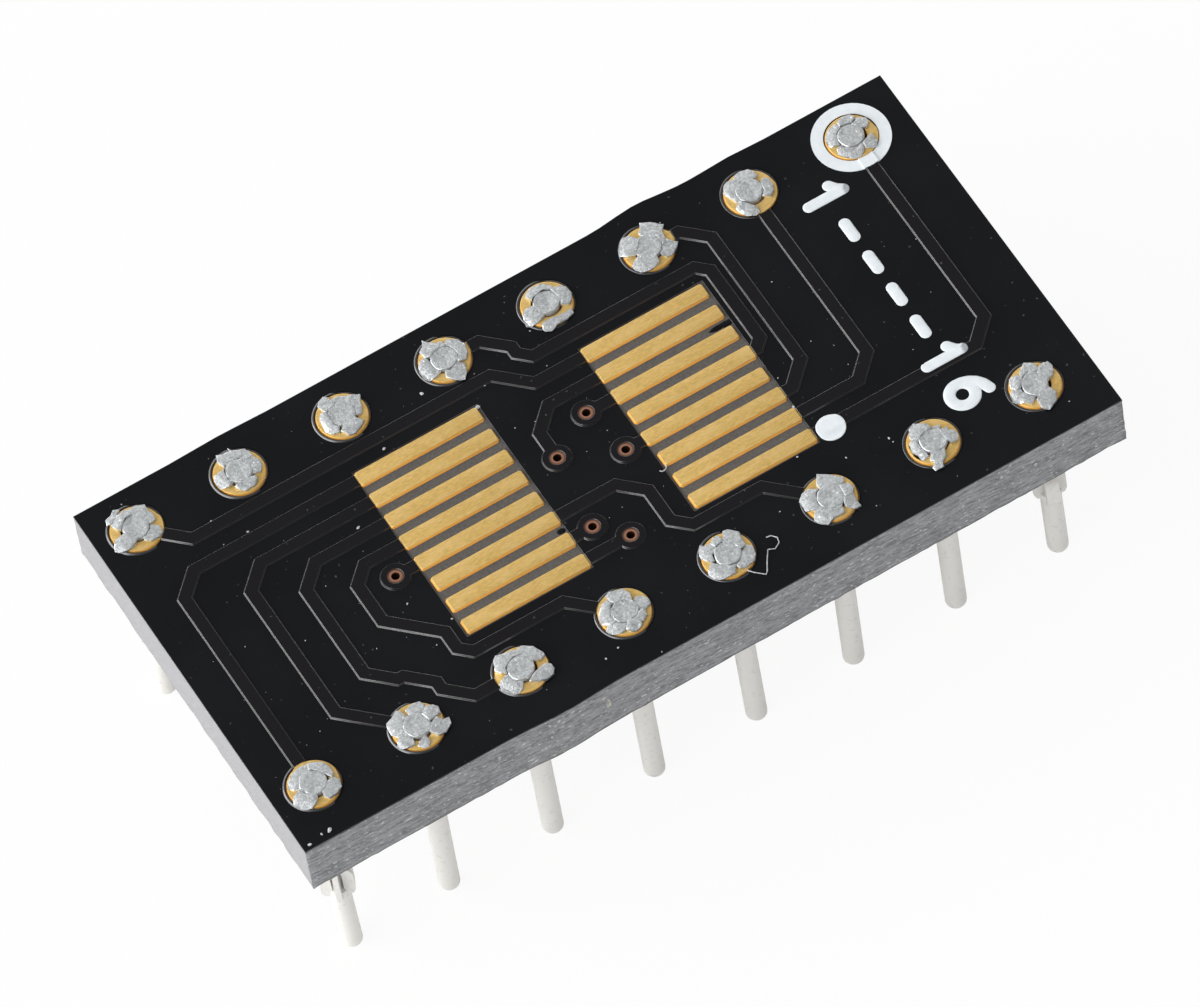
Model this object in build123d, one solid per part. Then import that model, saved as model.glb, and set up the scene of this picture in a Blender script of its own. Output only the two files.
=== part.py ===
from build123d import *
import math
import os

# Adapter board that carries a small-outline chip on a dual-in-line footprint.
# Millimetres. X runs along the pin rows, Y from pins 9-16 to pins 1-8, Z up.
# The origin is centred between the pin rows, on the plane of the pin tips.

# Pins of the dual-in-line side
pins_per_row = 8
pin_pitch = 2.54
row_spacing = 7.62
pin_drop = 4.9
shank_diameter = 0.48
tip_radius = 0.14
collar_diameter = 0.62
collar_drop = 0.25
collar_taper = 0.08

# Upset heads: a struck centre with petals folded over the land
head_height = 0.06
petal_height = 0.11
petal_radius = 0.57
petal_width = 0.52
petal_overlap = 0.03
petal_corner = 0.08
petals_per_head = 4

# Coined stand-off wings on the four corner pins
wing_radius = 0.4
wing_low = 2.8
wing_height = 1.0
wing_corner = 0.15
wing_thick = 0.3
wing_thin = 0.12

# Turn of each head about its pin, in degrees, pins 1 to 16
head_turns = (75, 10, 55, 20, 15, 10, 5, 35, 45, 40, 40, 5, 40, 50, 15, 0)

# Turn of the thick wings about each corner pin, in degrees, pins 1, 8, 9 and 16
wing_turns = (75, 345, 155, 75)

# Board: laminate left beyond the outermost lands, and the shift of the sawn outline
end_margin = 0.57
edge_margin = 0.6
board_shift_x = 0.19
board_shift_y = -0.15
laminate_thickness = 1.5

# Swells of the sawn long edges: place along X, half length, height
back_edge_swells = ((-6.3, 1.2, 0.03), (4.1, 1.25, 0.1), (6.4, 0.9, 0.035))
front_edge_swells = ((-3.5, 1.4, 0.06),)

# Copper, plating, solder mask and ink
copper_thickness = 0.055
plating_thickness = 0.01
mask_thickness = 0.03
mask_over_copper = 0.015
mask_side_cover = 0.03
underside_mask_setback = 0.12
ink_thickness = 0.02
track_width = 0.254
land_diameter = 1.18
land_clearance = 0.02
hole_diameter = 0.64
hole_plating = 0.03

# Vias
via_hole = 0.19
via_plating = 0.035
via_land = 0.62
via_opening = 0.36

# Chip contacts
contacts_per_side = 8
contact_pitch = 0.635
contact_width = 0.41
contact_length = 3.05
contact_row_centre = 2.8
window_length = 3.1
window_margin = 0.03
contact_corner = 0.05

# Contacts whose track leaves by the end that faces the middle of the board
inward_contacts = (4, 6, 7, 8, 14, 15, 16)

# Vias by pin: distance from the window's edge where the track starts
via_4_gap = 0.44
via_6_gap = 0.67
via_7_gap = 1.76
via_13_gap = 0.52
via_15_gap = 0.49
via_16_gap = 1.06

# Contact row that the via of a pin lies on
via_rows = {4: 4, 6: 6, 7: 5, 13: 13, 15: 15, 16: 16}

# Routing on the upper face. A gap, rise or fall is measured from the nearest edge of a window
bend = 0.52
short_bend = 0.26
tight_bend = 0.2
lane_3_gap = 0.73
lane_5_gap = 0.28
lane_5_rise = 0.38
lane_5_past_pin = 1.36
lane_8_rise = 0.47
lane_8_end = -0.66
lane_11_gap = 2.28
lane_11_fall = 0.1
lane_11_past_pin = 1.65
lane_12_gap = 1.31
lane_12_bend = 0.39
lane_12_fall = 0.4
neck_12_gap = 0.33
neck_12_y = -1.62
lane_14_gap = 0.555
lane_14_fall = 0.28
lane_14_bend = 0.36

# Routing on the underside
low_6_rise = 0.04
low_7_y = 1.7
low_13_drop = 0.7
low_13_past_pin = 0.81
low_15_fall = 0.34

# Pin-one marks
ring_diameter = 1.76
dot_diameter = 0.65
dot_gap = 0.38
dot_drop = 0.06

underside = pin_drop
board_top = underside + laminate_thickness
bare_land_top = copper_thickness + plating_thickness
pin_count = 2 * pins_per_row
all_pins = range(1, pin_count + 1)
cross_pads = contacts_per_side * contact_pitch - contact_pitch + contact_width
window_width = cross_pads + 2 * window_margin
window_top = window_width / 2
window_inner = contact_row_centre - window_length / 2
window_outer = contact_row_centre + window_length / 2
land_opening = land_diameter + 2 * land_clearance
board_length = (pins_per_row - 1) * pin_pitch + land_diameter + 2 * end_margin
board_width = row_spacing + land_diameter + 2 * edge_margin
board_left = board_shift_x - board_length / 2
board_right = board_shift_x + board_length / 2
corner_pins = (1, pins_per_row, pins_per_row + 1, pin_count)
via_gaps = {4: via_4_gap, 6: via_6_gap, 7: via_7_gap, 13: via_13_gap, 15: via_15_gap, 16: via_16_gap}


def pin_at(number):
    """Centre of a pin: 1 at the upper right, counted leftwards and back along the lower row."""
    if number <= pins_per_row:
        return Vector(((pins_per_row + 1) / 2 - number) * pin_pitch, row_spacing / 2)
    return Vector((number - 1.5 * pins_per_row - 0.5) * pin_pitch, -row_spacing / 2)


def contact_y(number):
    """Height of a contact in its column: 1 and 16 lowest, 8 and 9 highest."""
    step = number if number <= contacts_per_side else 2 * contacts_per_side + 1 - number
    return (step - (contacts_per_side + 1) / 2) * contact_pitch


def contact_side(number):
    """Contacts 1 to 8 lie in the right column, 9 to 16 in the left one."""
    return 1 if number <= contacts_per_side else -1


def contact_end(number):
    """Point at the window's edge where a contact's track leaves it."""
    reach = window_inner if number in inward_contacts else window_outer
    return Vector(contact_side(number) * reach, contact_y(number))


def via_at(number):
    """Centre of the via of a net that crosses to the underside."""
    start = contact_end(number)
    away = -contact_side(number) if number in inward_contacts else contact_side(number)
    return Vector(start.X + away * via_gaps[number], contact_y(via_rows[number]))


def prism(face, low, high):
    """Face on the XY plane as a solid between two heights."""
    return extrude(Pos(0, 0, low) * face, high - low)


def disc(centre, diameter):
    return Pos(centre.X, centre.Y) * Circle(diameter / 2)


def route(start, *stops):
    """Centre line of a track through stops of (x, y, cut), each corner cut by that length."""
    points = [start]
    for i, (x, y, cut) in enumerate(stops):
        corner = Vector(x, y)
        if cut > 0:
            after = Vector(stops[i + 1][0], stops[i + 1][1])
            points.append(corner + (points[-1] - corner).normalized() * cut)
            points.append(corner + (after - corner).normalized() * cut)
        else:
            points.append(corner)
    return points


def band(points, width):
    """Flat track of one width along a centre line, mitred at its bends."""
    return trace(Polyline(*points), width)


def end_at(point):
    return (point.X, point.Y, 0)


def slope_to(pin, lane_y, side):
    """Stop on a lane where a 45 degree run to a pin starts, on the pin's left (-1) or right (1)."""
    return (pin.X + side * abs(lane_y - pin.Y), lane_y, 0)


def top_routes():
    """Centre line of each track on the upper face, by pin number."""
    pin = {n: pin_at(n) for n in all_pins}
    row = {n: contact_y(n) for n in all_pins}
    start = {n: contact_end(n) for n in all_pins}
    lane_3 = window_outer + lane_3_gap
    lane_5 = window_top + lane_5_rise
    turn_5 = window_outer + lane_5_gap
    gate_5 = pin[5].X + lane_5_past_pin
    lane_8 = window_top + lane_8_rise
    lane_10 = (pin[9].X + pin[10].X) / 2
    lane_11 = -window_outer - lane_11_gap
    low_11 = -window_top - lane_11_fall
    gate_11 = pin[11].X - lane_11_past_pin
    lane_12 = -window_outer - lane_12_gap
    low_12 = -window_top - lane_12_fall
    neck_12 = -window_outer - neck_12_gap
    shift_12 = (neck_12 - lane_12) / 2
    lane_14 = window_inner - lane_14_gap
    low_14 = -window_top - lane_14_fall
    return {
        1: route(pin[1], (pin[1].X, row[1], bend), end_at(start[1])),
        2: route(pin[2], (pin[2].X, row[2], bend), end_at(start[2])),
        3: route(pin[3], (lane_3, pin[3].Y, bend), (lane_3, row[3], bend), end_at(start[3])),
        4: route(start[4], end_at(via_at(4))),
        5: route(
            pin[5],
            (gate_5, pin[5].Y, bend),
            (gate_5, lane_5, short_bend),
            (turn_5, lane_5, short_bend),
            (turn_5, row[5], tight_bend),
            end_at(start[5]),
        ),
        6: route(start[6], end_at(via_at(6))),
        7: route(start[7], (via_at(7).X, row[7], bend), end_at(via_at(7))),
        8: route(
            pin[8],
            slope_to(pin[8], lane_8, 1),
            (lane_8_end, lane_8, 0),
            (lane_8_end + lane_8 - row[8], row[8], 0),
            end_at(start[8]),
        ),
        9: route(start[9], (pin[9].X, row[9], bend), end_at(pin[9])),
        10: route(
            start[10],
            (lane_10, row[10], bend),
            (lane_10, pin[10].Y + pin[10].X - lane_10, 0),
            end_at(pin[10]),
        ),
        11: route(
            start[11],
            (lane_11, row[11], bend),
            (lane_11, low_11, bend),
            (gate_11, low_11, bend),
            (gate_11, pin[11].Y, bend),
            end_at(pin[11]),
        ),
        12: route(
            start[12],
            (lane_12, row[12], lane_12_bend),
            (lane_12, neck_12_y + shift_12, 0),
            (neck_12, neck_12_y - shift_12, 0),
            (neck_12, low_12, short_bend),
            slope_to(pin[12], low_12, -1),
            end_at(pin[12]),
        ),
        13: route(start[13], end_at(via_at(13))),
        14: route(
            start[14],
            (lane_14, row[14], bend),
            (lane_14, low_14, lane_14_bend),
            slope_to(pin[14], low_14, -1),
            end_at(pin[14]),
        ),
        15: route(start[15], end_at(via_at(15))),
        16: route(start[16], end_at(via_at(16))),
    }


def underside_routes():
    """Centre line of each track on the lower face, from its via to its pin."""
    pin = {n: pin_at(n) for n in via_gaps}
    via = {n: via_at(n) for n in via_gaps}
    lane_6 = window_top + low_6_rise
    gate_13 = (pin_at(11).X + pin_at(12).X) / 2
    turn_13 = via[13].Y - low_13_drop
    lane_13 = pin[13].Y - low_13_past_pin
    lane_15 = -window_top - low_15_fall
    return {
        4: route(via[4], (pin[4].X, via[4].Y + pin[4].X - via[4].X, 0), end_at(pin[4])),
        6: route(via[6], (via[6].X, lane_6, bend), slope_to(pin[6], lane_6, 1), end_at(pin[6])),
        7: route(
            via[7],
            (via[7].X - low_7_y + via[7].Y, low_7_y, 0),
            slope_to(pin[7], low_7_y, 1),
            end_at(pin[7]),
        ),
        13: route(
            via[13],
            (via[13].X, turn_13, 0),
            (gate_13, turn_13 - gate_13 + via[13].X, 0),
            (gate_13, lane_13, bend),
            slope_to(pin[13], lane_13, -1),
            end_at(pin[13]),
        ),
        15: route(
            via[15],
            (via[15].X, lane_15, short_bend),
            slope_to(pin[15], lane_15, -1),
            end_at(pin[15]),
        ),
        16: route(via[16], slope_to(pin[16], via[16].Y, -1), end_at(pin[16])),
    }


def long_edge(swells, side):
    """Sawn long edge from left to right, swelling a little at each named place."""
    edge = board_shift_y + side * board_width / 2
    at = board_left
    parts = []
    for x, half_length, height in swells:
        first = (x - half_length, edge)
        last = (x + half_length, edge)
        parts.append(Line((at, edge), first))
        parts.append(Spline(first, (x, edge + side * height), last, tangents=[(1, 0), (1, 0)]))
        at = x + half_length
    return parts + [Line((at, edge), (board_right, edge))]


def board_face():
    """Outline of the board: sawn long edges that waver, straight short ends."""
    back = long_edge(back_edge_swells, 1)
    front = long_edge(front_edge_swells, -1)
    ends = [Line(front[0] @ 0, back[0] @ 0), Line(front[-1] @ 1, back[-1] @ 1)]
    return make_face(back + front + ends)


def contact_face(number):
    """Contact pad with eased corners, its tracked end flush with the window."""
    spare = (window_length - contact_length) / 2
    shift = -spare if number in inward_contacts else spare
    pad = Rectangle(contact_length, contact_width)
    pad = chamfer(pad.vertices(), contact_corner)
    return Pos(contact_side(number) * (contact_row_centre + shift), contact_y(number)) * pad


def windows():
    """Mask openings over the two columns of contacts."""
    opening = Rectangle(window_length, window_width)
    return [Pos(side * contact_row_centre, 0) * opening for side in (-1, 1)]


def make_track(number, top_line, low_line):
    """One net: contact, track, plated hole with both lands, and its via where it has one."""
    pin = pin_at(number)
    hole = disc(pin, hole_diameter)
    sleeve = disc(pin, hole_diameter + 2 * hole_plating)
    land = disc(pin, land_diameter)
    contact = contact_face(number)
    upper = band(top_line, track_width) + contact + land
    lower = Sketch() + land
    drills = [hole]
    barrels = [sleeve]
    if low_line:
        via = low_line[0]
        via_face = disc(via, via_land)
        upper += via_face
        lower += band(low_line, track_width)
        lower += via_face
        drills.append(disc(via, via_hole))
        barrels.append(disc(via, via_hole + 2 * via_plating))
    low = underside - copper_thickness
    high = board_top + copper_thickness
    net = prism(upper, board_top, high) + prism(lower, low, underside)
    net += [prism(face, board_top, board_top + bare_land_top) for face in (contact, land)]
    net += prism(land, underside - bare_land_top, underside)
    net += [prism(barrel, low, high) for barrel in barrels]
    return net - [prism(drill, low - 1, high + 1) for drill in drills]


def mask_face(outline, vias):
    """Mask on one face within an outline, open at the lands and vias."""
    openings = [disc(pin_at(n), land_opening) for n in all_pins]
    openings += [disc(via, via_opening) for via in vias]
    return outline - openings


def make_mask(lines, vias, face, base, way, copper):
    """Solder mask on one face, raised over the tracks and via lands that it covers."""
    cover = 2 * mask_side_cover
    ridges = [band(line, track_width + cover) for line in lines.values()]
    ridges += [disc(via, via_land + cover) for via in vias]
    film = extrude(Pos(0, 0, base) * face, way * mask_thickness)
    over_copper = copper_thickness + mask_over_copper
    thick = extrude(Pos(0, 0, base) * face, way * over_copper)
    raised = extrude(Pos(0, 0, base) * (Sketch() + ridges), way * 2 * over_copper)
    return film + (thick & raised) - copper


def make_laminate():
    """Glass-epoxy core with its drilled holes."""
    face = board_face()
    face -= [disc(pin_at(n), hole_diameter + 2 * hole_plating) for n in all_pins]
    face -= [disc(via_at(n), via_hole + 2 * via_plating) for n in via_gaps]
    return prism(face, underside, board_top)


def make_print(face, track_line, beneath):
    """Ink film that follows the mask over a covered track."""
    ridge = band(track_line, track_width + 2 * (mask_side_cover + ink_thickness))
    ridge_top = board_top + copper_thickness + mask_over_copper + ink_thickness
    film = prism(face, board_top, board_top + mask_thickness + ink_thickness)
    thick = prism(face, board_top, ridge_top)
    return film + (thick & prism(ridge, board_top, ridge_top)) - beneath


def petal_face():
    """One petal of a struck head, from the collar out over the land."""
    inner = collar_diameter / 2 - petal_overlap
    outer = Pos(petal_radius / 2, 0) * Rectangle(petal_radius, petal_width)
    outer = chamfer(outer.vertices().group_by(Axis.X)[-1], petal_corner)
    return outer - Circle(inner)


def make_pin(number):
    """Round pin: rounded tip, shank, collar in the hole, the struck head above and any wings."""
    shank = shank_diameter / 2
    collar = collar_diameter / 2
    collar_low = underside - collar_drop
    head_low = board_top + bare_land_top
    with BuildSketch(Plane.XZ) as half:
        with BuildLine():
            Line((0, 0), (shank - tip_radius, 0))
            RadiusArc((shank - tip_radius, 0), (shank, tip_radius), -tip_radius)
            Polyline(
                (shank, tip_radius),
                (shank, collar_low - collar_taper),
                (collar, collar_low),
                (collar, head_low + head_height),
                (0, head_low + head_height),
                (0, 0),
            )
        make_face()
    body = revolve(half.sketch, Axis.Z)
    petal = prism(petal_face(), head_low, head_low + petal_height)
    turn = head_turns[number - 1]
    body += [Rot(0, 0, turn + step) * petal for step in range(0, 360, 360 // petals_per_head)]
    if number in corner_pins:
        wing_centre = underside - wing_low + wing_height / 2
        plate = Plane.XZ * RectangleRounded(2 * wing_radius, wing_height, wing_corner)
        turn = wing_turns[corner_pins.index(number)]
        for step, thickness in ((0, wing_thick), (90, wing_thin)):
            wing = extrude(plate, thickness / 2, both=True)
            body += Pos(0, 0, wing_centre) * Rot(0, 0, turn + step) * wing
    pin = pin_at(number)
    return Pos(pin.X, pin.Y) * body


def make_nodes():
    """Every piece of the adapter by its node name."""
    top_lines = top_routes()
    low_lines = underside_routes()
    vias = [via_at(n) for n in via_gaps]
    tracks = {n: make_track(n, top_lines[n], low_lines.get(n)) for n in all_pins}
    copper = list(tracks.values())
    top_face = mask_face(board_face(), vias) - windows()
    inset = 2 * underside_mask_setback
    low_outline = Pos(board_shift_x, board_shift_y) * Rectangle(board_length - inset, board_width - inset)
    low_face = mask_face(low_outline, vias)
    top_mask = make_mask(top_lines, vias, top_face, board_top, 1, copper)
    low_mask = make_mask(low_lines, vias, low_face, underside, -1, copper)
    ring = disc(pin_at(1), ring_diameter) - disc(pin_at(1), land_opening)
    dot = disc(contact_end(1) + Vector(dot_gap, -dot_drop), dot_diameter)
    nodes = {
        "laminate": make_laminate(),
        "solder_mask_top": top_mask,
        "solder_mask_underside": low_mask,
        "pin_one_ring": make_print(ring, top_lines[1], [top_mask, tracks[1]]),
        "pin_one_dot": make_print(dot, top_lines[1], [top_mask, tracks[1]]),
    }
    for n in all_pins:
        nodes[f"track_{n}"] = tracks[n]
        nodes[f"pin_{n}"] = make_pin(n)
    return nodes


os.makedirs("parts", exist_ok=True)
for name, solid in make_nodes().items():
    export_step(solid, f"parts/{name}.step")
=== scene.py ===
"""Looks of the chip adapter board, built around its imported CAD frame."""

import math

import bmesh
import bpy
from mathutils import Matrix, Vector, noise
from mathutils.bvhtree import BVHTree


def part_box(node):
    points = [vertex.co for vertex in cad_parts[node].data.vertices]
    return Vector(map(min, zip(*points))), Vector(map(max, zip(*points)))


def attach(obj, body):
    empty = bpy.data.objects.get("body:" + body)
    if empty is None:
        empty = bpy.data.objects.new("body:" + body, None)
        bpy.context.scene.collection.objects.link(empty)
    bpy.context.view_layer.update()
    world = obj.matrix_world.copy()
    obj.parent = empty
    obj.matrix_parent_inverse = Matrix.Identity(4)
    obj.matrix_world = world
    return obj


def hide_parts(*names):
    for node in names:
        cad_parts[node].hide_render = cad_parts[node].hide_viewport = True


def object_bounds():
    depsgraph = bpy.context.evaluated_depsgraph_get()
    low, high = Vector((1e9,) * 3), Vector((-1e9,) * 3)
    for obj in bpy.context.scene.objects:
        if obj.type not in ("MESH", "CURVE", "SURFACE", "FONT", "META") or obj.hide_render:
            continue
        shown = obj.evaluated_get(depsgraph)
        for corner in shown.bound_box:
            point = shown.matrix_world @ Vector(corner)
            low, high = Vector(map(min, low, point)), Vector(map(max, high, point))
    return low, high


bl_info = {
    "name": "Chip adapter board",
    "version": (1, 0, 0),
    "blender": (4, 5, 0),
    "location": "View3D > Sidebar > Adapter",
    "description": "Dresses a small adapter board with staked pins around its CAD frame",
    "category": "Object",
}

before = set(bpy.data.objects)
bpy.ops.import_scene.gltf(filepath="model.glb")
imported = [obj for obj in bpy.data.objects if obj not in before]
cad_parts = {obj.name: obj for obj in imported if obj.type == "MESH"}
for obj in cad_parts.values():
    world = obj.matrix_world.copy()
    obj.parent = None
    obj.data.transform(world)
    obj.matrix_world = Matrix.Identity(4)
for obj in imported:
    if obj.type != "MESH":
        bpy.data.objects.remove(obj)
cad_low, cad_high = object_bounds()

MM = 0.001
PINS = range(1, 17)
BOARD_LOW, BOARD_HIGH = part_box("laminate")
MASK_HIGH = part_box("solder_mask_top")[1].z
COPPER_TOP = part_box("track_1")[1].z
MASK_THICKNESS = 0.03 * MM
MASK_FLAT = BOARD_HIGH.z + MASK_THICKNESS

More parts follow.
